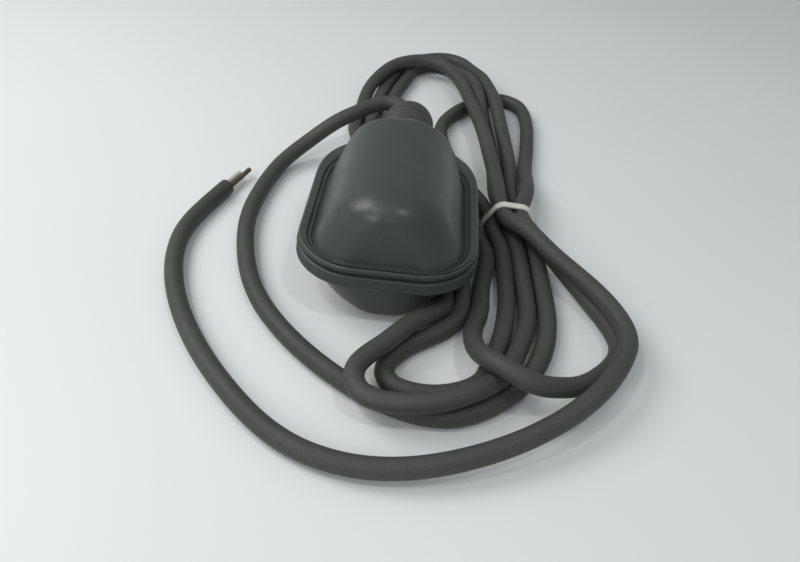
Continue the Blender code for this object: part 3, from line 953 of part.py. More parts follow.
# ---------------------------------------------------------------- assembly
def main():
    for obj in list(bpy.data.objects):
        bpy.data.objects.remove(obj, do_unlink=True)

    shell_mat = material("shell_plastic", (0.075, 0.090, 0.083), 0.45)
    seal_mat = material("seal_rubber", (0.030, 0.032, 0.031), 0.7)
    gland_mat = material("gland_rubber", (0.070, 0.076, 0.070), 0.6)
    sheath_mat = material("sheath_rubber", (0.085, 0.085, 0.075), 0.65)
    base_mat = material("capsule_plastic", (0.55, 0.55, 0.50), 0.5)
    lid_mat = material("capsule_lid_plastic", (0.62, 0.62, 0.57), 0.45)
    rocker_mat = material("rocker_plastic", (0.75, 0.74, 0.68), 0.5)
    steel_mat = material("ball_steel", (0.60, 0.60, 0.60), 0.2, 1.0)
    pin_mat = material("pin_steel", (0.50, 0.50, 0.50), 0.3, 1.0)
    screw_mat = material("screw_steel", (0.55, 0.54, 0.52), 0.35, 1.0)
    case_mat = material("switch_case_plastic", (0.020, 0.020, 0.020), 0.5)
    cover_mat = material("switch_cover_plastic", (0.40, 0.05, 0.03), 0.5)
    plunger_mat = material("plunger_plastic", (0.55, 0.03, 0.02), 0.4)
    brass_mat = material("terminal_brass", (0.70, 0.52, 0.22), 0.3, 1.0)
    sleeve_mat = material("sleeve_plastic", (0.60, 0.60, 0.58), 0.4)
    clamp_mat = material("clamp_plastic", (0.10, 0.10, 0.10), 0.5)
    tie_mat = material("tie_nylon", (0.80, 0.80, 0.74), 0.4)
    dark_core = material("dark_core", (0.090, 0.088, 0.060), 0.5)
    pale_core = material("pale_core", (0.62, 0.58, 0.47), 0.5)
    lead_mats = {"lead_blue": material("blue_core", (0.03, 0.10, 0.40), 0.45),
                 "lead_brown": material("brown_core", (0.20, 0.08, 0.03), 0.45),
                 "lead_black": material("black_core", (0.02, 0.02, 0.02), 0.45)}

    shell("upper_shell", 1, UPPER_FORM, 0.0, UPPER_FLANGE_PROFILE, shell_mat)
    lower = shell("lower_shell", -1, LOWER_FORM, LOWER_LIP, LOWER_FLANGE_PROFILE, shell_mat)
    lower_shell_mounts(lower)
    rim_seal(seal_mat)
    cable_gland(gland_mat)
    sheath_and_clamp(sheath_mat, clamp_mat, screw_mat)
    base = capsule(base_mat, lid_mat, seal_mat, screw_mat)
    base_fittings(base)
    rocker_and_ball(rocker_mat, pin_mat, steel_mat)
    microswitch(case_mat, cover_mat, screw_mat, plunger_mat, brass_mat, sleeve_mat)
    leads_and_grommet(lead_mats, gland_mat)
    route = free_cable(sheath_mat)
    core_tails(route, dark_core, pale_core)
    cable_tie(route, tie_mat)


main()
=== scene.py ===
"""Looks of the cable float switch: moulded shells, gland, rubber cable, tie, light and camera.

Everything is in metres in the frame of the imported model: the float lies on z = 0, +Y points to its gland.
"""
import math

import bmesh
import bpy
import numpy as np
from mathutils import Matrix, Vector

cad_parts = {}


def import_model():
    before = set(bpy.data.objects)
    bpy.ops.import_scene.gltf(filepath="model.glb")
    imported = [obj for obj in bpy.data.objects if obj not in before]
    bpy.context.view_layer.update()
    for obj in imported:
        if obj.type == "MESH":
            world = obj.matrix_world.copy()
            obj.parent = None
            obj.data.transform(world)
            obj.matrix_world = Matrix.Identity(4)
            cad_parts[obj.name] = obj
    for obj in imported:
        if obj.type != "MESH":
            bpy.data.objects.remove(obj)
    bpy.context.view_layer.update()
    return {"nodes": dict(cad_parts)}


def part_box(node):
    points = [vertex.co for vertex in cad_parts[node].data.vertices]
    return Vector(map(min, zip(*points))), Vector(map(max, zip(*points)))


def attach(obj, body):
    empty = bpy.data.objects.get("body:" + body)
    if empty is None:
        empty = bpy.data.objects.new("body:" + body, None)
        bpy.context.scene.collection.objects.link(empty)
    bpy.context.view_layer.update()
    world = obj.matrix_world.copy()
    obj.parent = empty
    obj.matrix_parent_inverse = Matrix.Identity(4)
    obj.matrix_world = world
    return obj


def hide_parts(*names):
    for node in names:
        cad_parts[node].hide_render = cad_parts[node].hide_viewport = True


MM = 0.001

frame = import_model()

# ---------------------------------------------------------------- sizes from the frame
UPPER_LOW, UPPER_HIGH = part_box("upper_shell")
LOWER_LOW, LOWER_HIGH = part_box("lower_shell")
SEAL_LOW, SEAL_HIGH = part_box("rim_seal")
TIE_LOW, TIE_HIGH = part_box("cable_tie")

SEAM_Z = (SEAL_LOW[2] + SEAL_HIGH[2]) / 2
FLANGE_HALF_WIDTH = UPPER_HIGH[0]
FLANGE_FRONT = -UPPER_LOW[1]
LOWER_LIP = LOWER_HIGH[0] - UPPER_HIGH[0]
UPPER_FLANGE, LOWER_FLANGE = 3.9 * MM, 7.4 * MM  # from the seam to the faces of the two flanges
UPPER_DEPTH = UPPER_HIGH[2] - SEAM_Z - UPPER_FLANGE
LOWER_DEPTH = SEAM_Z - LOWER_LOW[2] - LOWER_FLANGE
TIE_Y = (TIE_LOW[1] + TIE_HIGH[1]) / 2

# ---------------------------------------------------------------- sizes of the moulded forms
REAR_FACE, REAR_DRAFT = 47.0 * MM, math.radians(20)
REAR_RIM_DEPTH, REAR_RIM_POWER, REAR_RIM_START = 6.0 * MM, 4.0, 0.7
FLANGE_CORNER, FLANGE_REAR_POWER = 30.0 * MM, 2.35
GROOVE = 1.3 * MM
LOWEST_CONTOUR = 0.8 * MM                        # above the flange, where the wall begins
UPPER_CROWN = 0.65 * MM                          # the upper land bulges by this much, the lower is flat
SEAM_GAP = 0.8 * MM                              # from the seam's plane to each shell's inner face
GLAND_RADIUS = 15.6 * MM
GLAND_INNER_Y, GLAND_DOME_Y, GLAND_LEAN = 40.0 * MM, 88.0 * MM, 2.0 * MM
GLAND_RINGS, GLAND_RING_PITCH, GLAND_RING_DEPTH = 3, 5.5 * MM, 0.65 * MM
SNOUT_RADIUS, SNOUT_REACH, SNOUT_TURN = 6.9 * MM, 17.0 * MM, math.radians(12)
SNOUT_FLARE = 1.5 * MM                           # wider by this much where it leaves the dome
CORD_DIAMETER = 9.5 * MM
CORE_DIAMETER = 3.0 * MM
DARK_TAIL, PALE_TAIL = 23 * MM, 17 * MM          # how far the cores reach out of the cut end
TIE_THICKNESS = 1.1 * MM

# ---------------------------------------------------------------- the cable's route, in millimetres
LIE = 5.05
TIED = LIE + 1.75
ROUTE = [
    # out of the gland, down and round the left side, and back to the tie
    (-1.6, 104.9, 32.55), (-2.9, 110.8, 32.5), (-7, 116.6, 32.1), (-13.5, 119, 31.2), (-20.5, 117.2, 30.2),
    (-27, 112.8, 29.1), (-33.5, 107.5, 27.6), (-43, 101, 24.5), (-59.5, 90, 14.8), (-74.8, 71.5, 6.8),
    (-81.3, 45, LIE), (-82.8, 12.4, LIE), (-77, -19.3, LIE), (-64.3, -51, LIE), (-44, -77.5, LIE),
    (-18, -99.5, LIE), (10, -114.3, LIE), (36, -117.3, LIE), (57, -106.2, LIE), (74.4, -86.3, LIE),
    (84.3, -55, LIE), (84, -20, LIE), (81.6, 8, TIED - 0.3), (77.2, 30, TIED),
    # outer arc of the hank, then below the top strand, under the float and into the inner front loop
    (74.9, 44, LIE + 1.4), (71.8, 58, LIE + 0.3), (70.6, 75, LIE), (71, 97, LIE + 0.8), (68.4, 125.5, LIE + 4),
    (65, 150, LIE + 8), (61, 181, LIE + 9.9), (57.8, 195, LIE + 9.9), (54.3, 212, LIE + 8.3),
    (49.3, 231, LIE + 4.5), (44.5, 246, LIE + 1.5), (37.3, 259.5, LIE), (26.4, 264, LIE), (14.5, 261.5, LIE),
    (4, 255.5, LIE), (-6, 245, LIE), (-13, 229.5, LIE), (-17.5, 213, LIE), (-20.7, 197, LIE), (-23.1, 178, LIE),
    (-24.8, 160, LIE), (-25.6, 139, LIE), (-17, 111, LIE), (3, 86.5, LIE), (17.5, 71.5, LIE + 0.8),
    (26.5, 61, LIE + 4.5), (33, 50.5, LIE + 7.4), (36.8, 40, LIE + 7.7), (38.1, 30, LIE + 7),
    (39.3, 20, LIE + 5.6), (40.4, 9, LIE + 1.8), (40.7, -8, LIE), (40.6, -26, LIE), (40.9, -39, LIE),
    (40.1, -48, LIE), (37, -57, LIE), (27.5, -67.3, LIE), (15.6, -76.9, LIE), (8.2, -86, LIE),
    (5.5, -94, LIE), (8.3, -101, LIE), (17, -105.2, LIE), (29, -105.6, LIE), (40.5, -102, LIE),
    (49.8, -95.2, LIE), (54.5, -85, LIE), (58, -74.5, LIE), (62, -58, LIE), (63.9, -42, LIE), (64.2, -12, LIE),
    (61.4, 12, TIED - 0.3), (58.4, 22, TIED), (57.8, 30, TIED),
    # small loop behind the tie
    (56, 40, LIE + 0.5), (51.7, 52, LIE), (45, 65, LIE), (38.5, 79, LIE), (31, 101, LIE), (25.8, 122, LIE),
    (24.6, 142, LIE), (31.5, 163, LIE), (41, 177.5, LIE), (56, 191, LIE), (71, 197, LIE), (81, 190.5, LIE),
    (85.9, 175.5, LIE), (86.9, 158, LIE), (86, 140, LIE), (84, 117, LIE), (81.6, 93, LIE + 0.5),
    (80.8, 75, LIE + 4), (79, 58, LIE + 8.5), (75.9, 43, LIE + 10.9), (73, 30, TIED + 8.7),
    # right front loop, over the other strands and beside the float
    (77.8, 13, LIE + 11.2), (84.6, 0, LIE + 10.5), (93.5, -11.5, LIE + 6.5), (103, -23.5, LIE + 2.5),
    (111, -35.5, LIE + 0.2), (117.2, -50, LIE), (118.9, -62, LIE), (115.3, -72.5, LIE), (106.5, -83.5, LIE + 1),
    (94.3, -95.8, LIE + 6), (81.4, -103.7, LIE + 12), (69.5, -107.3, LIE + 17.4), (59.6, -103, LIE + 18.8),
    (51.2, -94.3, LIE + 15.5), (46.4, -80.6, LIE + 8.2), (46.3, -64.5, LIE + 3.6), (50, -48, LIE + 0.5),
    (51, -31, LIE), (53.4, -14, LIE), (54, 0, LIE), (51, 11, LIE), (47, 21, LIE), (45.2, 30, LIE),
    # inner arc, the other way round
    (44, 39, LIE), (40.3, 50.5, LIE), (34.3, 64, LIE), (26, 78, LIE), (12, 92.5, LIE), (-6.5, 120, LIE),
    (-13.6, 145, LIE), (-14.5, 163, LIE), (-12.5, 183, LIE), (-9.3, 201, LIE), (-5.2, 218, LIE), (-1, 234, LIE),
    (8.5, 245, LIE), (22, 246, LIE), (33.5, 237, LIE + 0.8), (41, 224, LIE + 4), (45.2, 206, LIE + 8.4),
    (49.1, 190, LIE + 10), (51.4, 178, LIE + 8.2), (53.4, 166, LIE + 4.6), (56.3, 146, LIE + 1.6),
    (59, 122, LIE + 0.3), (60.6, 98, LIE), (60.9, 76, LIE), (61.8, 60, LIE + 0.4), (65.1, 45, LIE + 1.6),
    (67.5, 30, TIED),
    # upper front loop and along the float
    (71.7, 10, TIED - 0.3), (74, -18, LIE + 0.1), (73.7, -54, LIE), (67.8, -75, LIE + 2),
    (58.5, -97, LIE + 7.3), (42, -112, LIE + 9.9), (29, -118, LIE + 9.9), (16.3, -120.5, LIE + 9.9),
    (4.5, -120.3, LIE + 9.9), (-3, -116.8, LIE + 9.9), (-6.8, -110.5, LIE + 9.9), (-7, -103.5, LIE + 9.9),
    (-3.5, -96.2, LIE + 9.9), (4.1, -86.8, LIE + 9.9), (14.2, -72.5, LIE + 9.2), (22, -63, LIE + 7.5),
    (28.4, -55.6, LIE + 5.4), (31.8, -47, LIE + 2.5), (31.6, -38, LIE + 0.5), (31.3, -26, LIE), (31.2, 6, LIE),
    (31.7, 26, LIE), (31.4, 37, LIE), (27.2, 48, LIE), (18, 57, LIE), (6, 67.5, LIE), (-8, 81, LIE),
    (-27.3, 105, LIE), (-36, 129, LIE), (-34.5, 160, LIE + 0.2),
    # top strand of the arc
    (-32.4, 183, LIE + 3.5), (-24.9, 201, LIE + 8.2), (-13.6, 220.5, LIE + 9.7), (-3.8, 229, LIE + 9.7),
    (6.8, 233, LIE + 9.7), (17.4, 231, LIE + 9.7), (28.1, 219, LIE + 9.8), (36.8, 199, LIE + 9.9),
    (43.3, 172, LIE + 10.2), (51.3, 135, LIE + 9.9), (55.8, 103, LIE + 9.7), (59.6, 68.6, LIE + 9.7),
    (61.2, 45, LIE + 10.4), (62.7, 30, TIED + 8.7),
    # over the other strands and round the front to the cut end
    (66.8, 16, LIE + 13.8), (75.5, 1.5, LIE + 18.2), (85, -10.5, LIE + 16.5), (97.5, -22, LIE + 13.2),
    (109.5, -35, LIE + 11), (117.8, -50.3, LIE + 10), (120.2, -66.7, LIE + 9.9), (114.9, -81.4, LIE + 9.9),
    (104.6, -97.8, LIE + 9.9), (79, -122, LIE + 7.5), (46, -140, LIE + 4.8), (8, -148.5, LIE + 2),
    (-28, -141, LIE), (-60, -117.3, LIE), (-88.5, -83, LIE), (-109.2, -41, LIE), (-114, -6, LIE),
    (-109.3, 17, LIE), (-102.5, 38.5, LIE),
]


# ---------------------------------------------------------------- mesh helpers
def add_object(name, data, mats=()):
    obj = bpy.data.objects.new(name, data)
    bpy.context.scene.collection.objects.link(obj)
    for mat in mats:
        data.materials.append(mat)
    return obj


def finish_mesh(name, bm, mats=(), sharp_deg=180):
    bmesh.ops.recalc_face_normals(bm, faces=bm.faces)
    mesh = bpy.data.meshes.new(name)
    bm.to_mesh(mesh)
    bm.free()
    mesh.shade_smooth()
    mesh.set_sharp_from_angle(angle=math.radians(sharp_deg))
    return add_object(name, mesh, mats)


def loft(bm, rings, closed=False, caps=True):
    loops = [[bm.verts.new(point) for point in ring] for ring in rings]
    pairs = list(zip(loops, loops[1:]))
    if closed:
        pairs.append((loops[-1], loops[0]))
    for lower, upper in pairs:
        for i in range(len(lower)):
            j = (i + 1) % len(lower)
            bm.faces.new((lower[i], lower[j], upper[j], upper[i]))
    if caps and not closed:
        bm.faces.new(loops[0])
        bm.faces.new(loops[-1])


def circle(centre, radius, normal, sides):
    normal = Vector(normal).normalized()
    side = normal.orthogonal().normalized()
    up = normal.cross(side)
    angles = [2 * math.pi * k / sides for k in range(sides)]
    return [Vector(centre) + radius * (math.cos(a) * side + math.sin(a) * up) for a in angles]


def smooth_curve(points, steps):
    """Natural cubic spline through the points, with steps samples between neighbours."""
    points = np.array(points, float)
    knots = np.concatenate([[0], np.cumsum(np.linalg.norm(np.diff(points, axis=0), axis=1))])
    span = np.diff(knots)
    count = len(points)
    system, right = np.eye(count), np.zeros((count, 3))
    for i in range(1, count - 1):
        system[i, i - 1:i + 2] = span[i - 1], 2 * (span[i - 1] + span[i]), span[i]
        right[i] = 6 * ((points[i + 1] - points[i]) / span[i] - (points[i] - points[i - 1]) / span[i - 1])
    second = np.linalg.solve(system, right)
    samples = []
    for i in range(count - 1):
        for s in np.arange(steps) / steps * span[i]:
            slope = (points[i + 1] - points[i]) / span[i] - span[i] * (2 * second[i] + second[i + 1]) / 6
            samples.append(points[i] + slope * s + second[i] / 2 * s ** 2
                           + (second[i + 1] - second[i]) / (6 * span[i]) * s ** 3)
    samples.append(points[-1])
    return np.array(samples)


# ---------------------------------------------------------------- materials
class Nodes:
    """Short names for building one material's node tree."""

    def __init__(self, name):
        self.mat = bpy.data.materials.new(name)
        self.mat.use_nodes = True
        self.tree = self.mat.node_tree
        self.shader = self.tree.nodes["Principled BSDF"]

    def add(self, kind, **values):
        node = self.tree.nodes.new(kind)
        for key, value in values.items():
            if hasattr(node, key):
                setattr(node, key, value)
            else:
                node.inputs[key.replace("_", " ")].default_value = value
        return node

    def link(self, source, target):
        self.tree.links.new(source, target)

    def coordinates(self):
        return self.add("ShaderNodeTexCoord").outputs["Object"]

    def noise(self, scale, detail=3.0, rough=0.5, where=None):
        node = self.add("ShaderNodeTexNoise")
        node.inputs["Scale"].default_value = scale
        node.inputs["Detail"].default_value = detail
        node.inputs["Roughness"].default_value = rough
        self.link(where or self.coordinates(), node.inputs["Vector"])
        return node.outputs["Fac"]

    def ramp(self, source, stops):
        node = self.add("ShaderNodeValToRGB")
        while len(node.color_ramp.elements) < len(stops):
            node.color_ramp.elements.new(0.5)
        for element, (position, colour) in zip(node.color_ramp.elements, stops):
            element.position = position
            element.color = (*colour, 1.0) if len(colour) == 3 else colour
        self.link(source, node.inputs["Fac"])
        return node.outputs["Color"]

    def span(self, source, low, high, to_low, to_high):
        node = self.add("ShaderNodeMapRange")
        for key, value in (("From Min", low), ("From Max", high), ("To Min", to_low), ("To Max", to_high)):
            node.inputs[key].default_value = value
        self.link(source, node.inputs["Value"])
        return node.outputs["Result"]

    def mix(self, factor, first, second):
        node = self.add("ShaderNodeMix", data_type="RGBA")
        self.link(factor, node.inputs["Factor"])
        for index, value in ((6, first), (7, second)):
            if isinstance(value, tuple):
                node.inputs[index].default_value = (*value, 1.0)
            else:
                self.link(value, node.inputs[index])
        return node.outputs[2]

    def bump(self, height, distance, strength=1.0, under=None):
        node = self.add("ShaderNodeBump")
        node.inputs["Strength"].default_value = strength
        node.inputs["Distance"].default_value = distance
        self.link(height, node.inputs["Height"])
        if under is not None:
            self.link(under, node.inputs["Normal"])
        return node.outputs["Normal"]


DUST_COLOUR = (0.30, 0.31, 0.29)


def moulded(name, dark, pale, roughness, dust=0.0, grain=0.00004):
    """Moulded rubber or plastic: clouded colour, fine grain, a few specks of dust in the surface."""
    n = Nodes(name)
    colour = n.ramp(n.noise(28.0, 4.0, 0.6), [(0.30, dark), (0.72, pale)])
    if dust:
        specks = n.noise(900.0, 2.0, 0.4)
        colour = n.mix(n.span(specks, 0.70, 0.76, 0.0, dust), colour, DUST_COLOUR)
    n.link(colour, n.shader.inputs["Base Color"])
    gloss = n.span(n.noise(60.0, 5.0, 0.65), 0.3, 0.7, roughness - 0.06, roughness + 0.06)
    n.link(gloss, n.shader.inputs["Roughness"])
    fine = n.bump(n.noise(1400.0, 3.0, 0.6), grain)
    n.link(n.bump(n.noise(85.0, 3.0, 0.5), grain * 4, under=fine), n.shader.inputs["Normal"])
    return n.mat


def plain(name, colour, roughness, metallic=0.0, grain=0.00002):
    """A material of the pieces inside the float, with faint clouds and grain."""
    n = Nodes(name)
    clouds = n.noise(70.0, 3.0, 0.5)
    low, high = tuple(c * 0.88 for c in colour), tuple(min(c * 1.1, 1.0) for c in colour)
    n.link(n.ramp(clouds, [(0.3, low), (0.7, high)]), n.shader.inputs["Base Color"])
    n.shader.inputs["Roughness"].default_value = roughness
    n.shader.inputs["Metallic"].default_value = metallic
    n.link(n.bump(n.noise(900.0, 2.0, 0.5), grain), n.shader.inputs["Normal"])
    return n.mat


SHELL = moulded("shell_plastic", (0.040, 0.050, 0.044), (0.052, 0.062, 0.056), 0.36, dust=0.10)
GLAND = moulded("gland_rubber", (0.040, 0.044, 0.040), (0.056, 0.060, 0.055), 0.52, dust=0.10)
SHEATH = moulded("sheath_rubber", (0.050, 0.051, 0.045), (0.066, 0.067, 0.060), 0.62, dust=0.2, grain=0.00006)
SEAL = moulded("seal_rubber", (0.020, 0.021, 0.020), (0.030, 0.031, 0.030), 0.7)
TIE = moulded("tie_nylon", (0.66, 0.66, 0.60), (0.74, 0.74, 0.69), 0.42)
DARK_CORE = moulded("dark_core", (0.055, 0.052, 0.034), (0.095, 0.090, 0.062), 0.45)
PALE_CORE = moulded("pale_core", (0.52, 0.48, 0.38), (0.66, 0.62, 0.51), 0.5)


# ---------------------------------------------------------------- moulded shells
class Wall:
    """A drafted wall that rounds over into a flat crest: its distance from the middle at a height."""

    def __init__(self, foot, draft, radius, crest):
        self.foot, self.draft, self.radius = foot, draft, radius
        self.centre_height = crest - radius
        self.centre = foot - self.centre_height * math.tan(draft) - radius / math.cos(draft)
        self.tangent = self.centre_height + radius * math.sin(draft)

    def distance(self, height):
        if height <= self.tangent:
            return self.foot - height * math.tan(self.draft)
        rise = min(height - self.centre_height, self.radius)
        return self.centre + math.sqrt(self.radius ** 2 - rise ** 2)


class Form:
    """The outside of one shell: a flange, and drafted walls that arch over into a flat crest."""

    def __init__(self, flange, depth, crown, arch_radius, land_width, side_draft, corner, front, rear):
        self.flange, self.depth, self.crown, self.corner = flange, depth, crown, corner
        self.arch_radius, self.side_draft = arch_radius, side_draft
        self.arch_centre = depth - math.sqrt(arch_radius ** 2 - (land_width / 2) ** 2)
        foot = self.arch_centre * math.tan(side_draft) + arch_radius / math.cos(side_draft)
        self.side = Wall(foot, side_draft, arch_radius, self.arch_centre + arch_radius)
        self.front, self.rear = Wall(*front, depth), Wall(*rear, depth)

    def contour(self, height):
        squareness = min(max(height / (self.depth * REAR_RIM_START), 0.0), 1.0)
        return (self.side.distance(height), self.front.distance(height), self.rear.distance(height), self.corner,
                self.side.foot + (REAR_RIM_DEPTH - self.side.foot) * squareness,
                2 + (REAR_RIM_POWER - 2) * squareness)

    def heights(self):
        """Heights of contours from the crest down to the wall's foot."""
        top = math.asin((self.depth - self.arch_centre) / self.arch_radius)
        arch = [self.arch_centre + self.arch_radius * math.sin(a) for a in np.linspace(top, self.side_draft, 22)]
        return arch + list(np.linspace(arch[-1], LOWEST_CONTOUR, 7))[1:]


UPPER_FORM = Form(UPPER_FLANGE, UPPER_DEPTH, UPPER_CROWN, 34.6 * MM, 14.6 * MM, math.radians(30), 21 * MM,
                  (57.8 * MM, math.radians(11), 13 * MM), (REAR_FACE, REAR_DRAFT, 2.6 * MM))
LOWER_FORM = Form(LOWER_FLANGE, LOWER_DEPTH, 0.0, 38 * MM, 28 * MM, math.radians(24), 20 * MM,
                  (58.8 * MM, math.radians(6), 8 * MM), (REAR_FACE, REAR_DRAFT, 4 * MM))


def outline(half_width, front, rear, corner, rear_depth, rear_power, z):
    """One closed contour: flat front with round corners, straight sides, round or squared rear."""
    corner = min(corner, half_width * 0.85)
    half = [((half_width - corner) * k / 8, -front) for k in range(8)]
    for k in range(21):
        angle = math.pi / 2 * k / 20
        half.append((half_width - corner + corner * math.sin(angle), -front + corner - corner * math.cos(angle)))
    start, end = -front + corner, rear - rear_depth
    half += [(half_width, start + (end - start) * k / 14) for k in range(1, 15)]
    for k in range(1, 31):
        angle = math.pi / 2 * k / 30
        x = half_width * max(math.cos(angle), 0.0) ** (2 / rear_power) if k < 30 else 0.0
        half.append((x, end + rear_depth * math.sin(angle) ** (2 / rear_power)))
    left = [(-x, y) for x, y in reversed(half[1:-1])]
    return [Vector((x, y, z)) for x, y in half + left]


def flange_shape(inset):
    half_width = FLANGE_HALF_WIDTH - inset
    return (half_width, FLANGE_FRONT - inset, FLANGE_FRONT - inset, FLANGE_CORNER - inset, half_width,
            FLANGE_REAR_POWER)


def between(a, b, share):
    return tuple(p + (q - p) * share for p, q in zip(a, b))


def eased(knots, steps):
    """Stations through (share, depth) knots, with a level tangent at each."""
    stations = []
    for (x0, y0), (x1, y1) in zip(knots, knots[1:]):
        for k in range(steps):
            t = k / steps
            stations.append((x0 + (x1 - x0) * t, y0 + (y1 - y0) * (1 - math.cos(math.pi * t)) / 2))
    return stations + [knots[-1]]


# across the flange: (share of the way from the wall's foot to the edge, share of the groove's depth)
UPPER_FLANGE_PROFILE = eased([(0.0, 0.3), (0.08, 0.95), (0.21, 0.1), (0.36, 1.0), (0.49, 0.0), (0.80, 0.0)], 5)
LOWER_FLANGE_PROFILE = [(0.0, -0.3), (0.06, 0.0), (0.5, 0.0)]
# round the flange's edge, in millimetres: (inset from the edge, depth below the flange's face)
UPPER_EDGE_INSET, UPPER_EDGE_DROP = 1.5, 1.9
UPPER_EDGE = [(UPPER_EDGE_INSET * (1 - math.sin(math.radians(a))), UPPER_EDGE_DROP * (1 - math.cos(math.radians(a))))
              for a in range(0, 91, 15)]
LOWER_EDGE = [(0.5, 0.0), (0.05, 0.15), (-0.25, 0.5), (-0.35, 0.9), (-0.25, 1.35), (0.0, 1.8)]


def shell_rings(form, lip, profile, edge_profile):
    """Contours from the middle of the crest down the outside, over the flange and back in at the seam."""
    width, front, rear, corner, rear_depth, power = form.contour(form.depth)
    rings = []
    for share, rise in ((0.12, 1.0), (0.3, 0.93), (0.5, 0.76), (0.7, 0.52), (0.86, 0.26)):
        shrink = width * (1 - share)
        rings.append(outline(width * share, front - shrink, rear - shrink, corner, rear_depth, power,
                             form.flange + form.depth + form.crown * rise))
    rings += [outline(*form.contour(h), form.flange + h) for h in form.heights()]
    foot, edge = form.contour(0), flange_shape(-lip)
    rings += [outline(*between(foot, edge, share), form.flange - depth * GROOVE) for share, depth in profile]
    rings += [outline(*flange_shape(inset * MM - lip), form.flange - below * MM) for inset, below in edge_profile]
    for inset, z in ((0.0, SEAM_GAP + 0.5 * MM), (0.12, SEAM_GAP + 0.25 * MM), (0.4, SEAM_GAP)):
        rings.append(outline(*flange_shape(inset * MM - lip), z))
    rings.append(outline(*between(foot, edge, 0.05), SEAM_GAP))
    return rings


def moulded_shell(name, node, side, form, lip, profile, edge_profile):
    bm = bmesh.new()
    rings = shell_rings(form, lip, profile, edge_profile)
    loft(bm, [[Vector((p.x, p.y, SEAM_Z + side * p.z)) for p in ring] for ring in rings])
    obj = finish_mesh(name, bm, [SHELL], sharp_deg=60)
    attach(obj, "float_body")
    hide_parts(node)
    return obj


moulded_shell("upper_half", "upper_shell", 1, UPPER_FORM, 0.0, UPPER_FLANGE_PROFILE, UPPER_EDGE)
moulded_shell("lower_half", "lower_shell", -1, LOWER_FORM, LOWER_LIP, LOWER_FLANGE_PROFILE, LOWER_EDGE)


# ---------------------------------------------------------------- gland
def gland_centre(y):
    """The gland is straight as far as the flange's edge and leans to the right behind it."""
    share = min(max((y - FLANGE_FRONT) / (GLAND_DOME_Y - FLANGE_FRONT), 0.0), 1.0)
    return Vector((GLAND_LEAN * share ** 2 * (3 - 2 * share), y, SEAM_Z))


def gland():
    """A turned body with a domed end and a mouth to one side, fused and softened as one moulding."""
    first_ring = GLAND_DOME_Y - GLAND_RINGS * GLAND_RING_PITCH
    stations = [(y, GLAND_RADIUS) for y in np.arange(GLAND_INNER_Y, first_ring - 1 * MM, 1 * MM)]
    for ring in range(GLAND_RINGS):
        middle = first_ring + GLAND_RING_PITCH * ring
        for k in range(9):
            angle = math.pi * k / 8
            stations.append((middle + (k - 4) / 4 * MM, GLAND_RADIUS - GLAND_RING_DEPTH * math.sin(angle)))
        stations += [(middle + (1.4 + 0.6 * k) * MM, GLAND_RADIUS) for k in range(5)]
    for k in range(1, 18):
        angle = math.radians(5 * k)
        stations.append((GLAND_DOME_Y + GLAND_RADIUS * math.sin(angle), GLAND_RADIUS * math.cos(angle)))
    bm = bmesh.new()
    loft(bm, [circle(gland_centre(y), r, (0, 1, 0), 72) for y, r in stations])
    toward = Vector((-math.sin(SNOUT_TURN), math.cos(SNOUT_TURN), 0))
    snout = [(0, SNOUT_RADIUS + SNOUT_FLARE), (SNOUT_REACH - 1.2 * MM, SNOUT_RADIUS),
             (SNOUT_REACH, SNOUT_RADIUS - 0.8 * MM)]
    loft(bm, [circle(gland_centre(GLAND_DOME_Y) + toward * along, r, toward, 48) for along, r in snout])
    obj = finish_mesh("gland_moulding", bm, [GLAND])
    remesh = obj.modifiers.new("fuse", "REMESH")
    remesh.mode = "VOXEL"
    remesh.voxel_size = 0.5 * MM
    remesh.use_smooth_shade = True
    soften = obj.modifiers.new("soften", "SMOOTH")
    soften.factor = 0.5
    soften.iterations = 4
    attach(obj, "float_body")
    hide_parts("cable_gland")


gland()


# ---------------------------------------------------------------- cable, cores and tie
def tube(name, points, diameter, mat, resolution=6):
    """A round tube with capped ends through the points."""
    curve = bpy.data.curves.new(name, "CURVE")
    curve.dimensions = "3D"
    curve.bevel_depth = diameter / 2
    curve.bevel_resolution = resolution
    curve.use_fill_caps = True
    spline = curve.splines.new("POLY")
    spline.points.add(len(points) - 1)
    for place, point in zip(spline.points, points):
        place.co = (*point, 1.0)
    spline.use_smooth = True
    return add_object(name, curve, [mat])


def cable():
    """The sheath along its route, and the two cores that show at its cut end."""
    route = smooth_curve(ROUTE, 10) * MM
    cord = tube("cable", route, CORD_DIAMETER, SHEATH)
    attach(cord, "float_body")
    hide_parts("cord")
    end = Vector(route[-1])
    ahead = (end - Vector(route[-4])).normalized()
    aside = ahead.cross(Vector((0, 0, 1))).normalized()
    tails = []
    for name, node, slot, mat, offset, length in (
            ("core_dark", "tail_dark", "dark_core", DARK_CORE, 1.4 * MM, DARK_TAIL),
            ("core_pale", "tail_pale", "pale_core", PALE_CORE, -1.9 * MM, PALE_TAIL)):
        start = end + aside * offset - ahead * MM
        bow = aside * offset * 0.12
        stops = [start, start + ahead * length * 0.5 + bow, start + ahead * (length + MM)]
        tail = tube(name, smooth_curve([tuple(p) for p in stops], 6), CORE_DIAMETER, mat)
        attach(tail, "float_body")
        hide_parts(node)
        tails.append(tail)
    length = float(np.linalg.norm(np.diff(route, axis=0), axis=1).sum())
    return cord, tails, length


def hull(points):
    """Convex hull of points in a plane, anticlockwise."""
    points = sorted(set(points))

    def chain(sequence):
        kept = []
        for p in sequence:
            while len(kept) > 1 and ((kept[-1][0] - kept[-2][0]) * (p[1] - kept[-2][1])
                                     - (kept[-1][1] - kept[-2][1]) * (p[0] - kept[-2][0])) <= 0:
                kept.pop()
            kept.append(p)
        return kept[:-1]

    return chain(points) + chain(points[::-1])


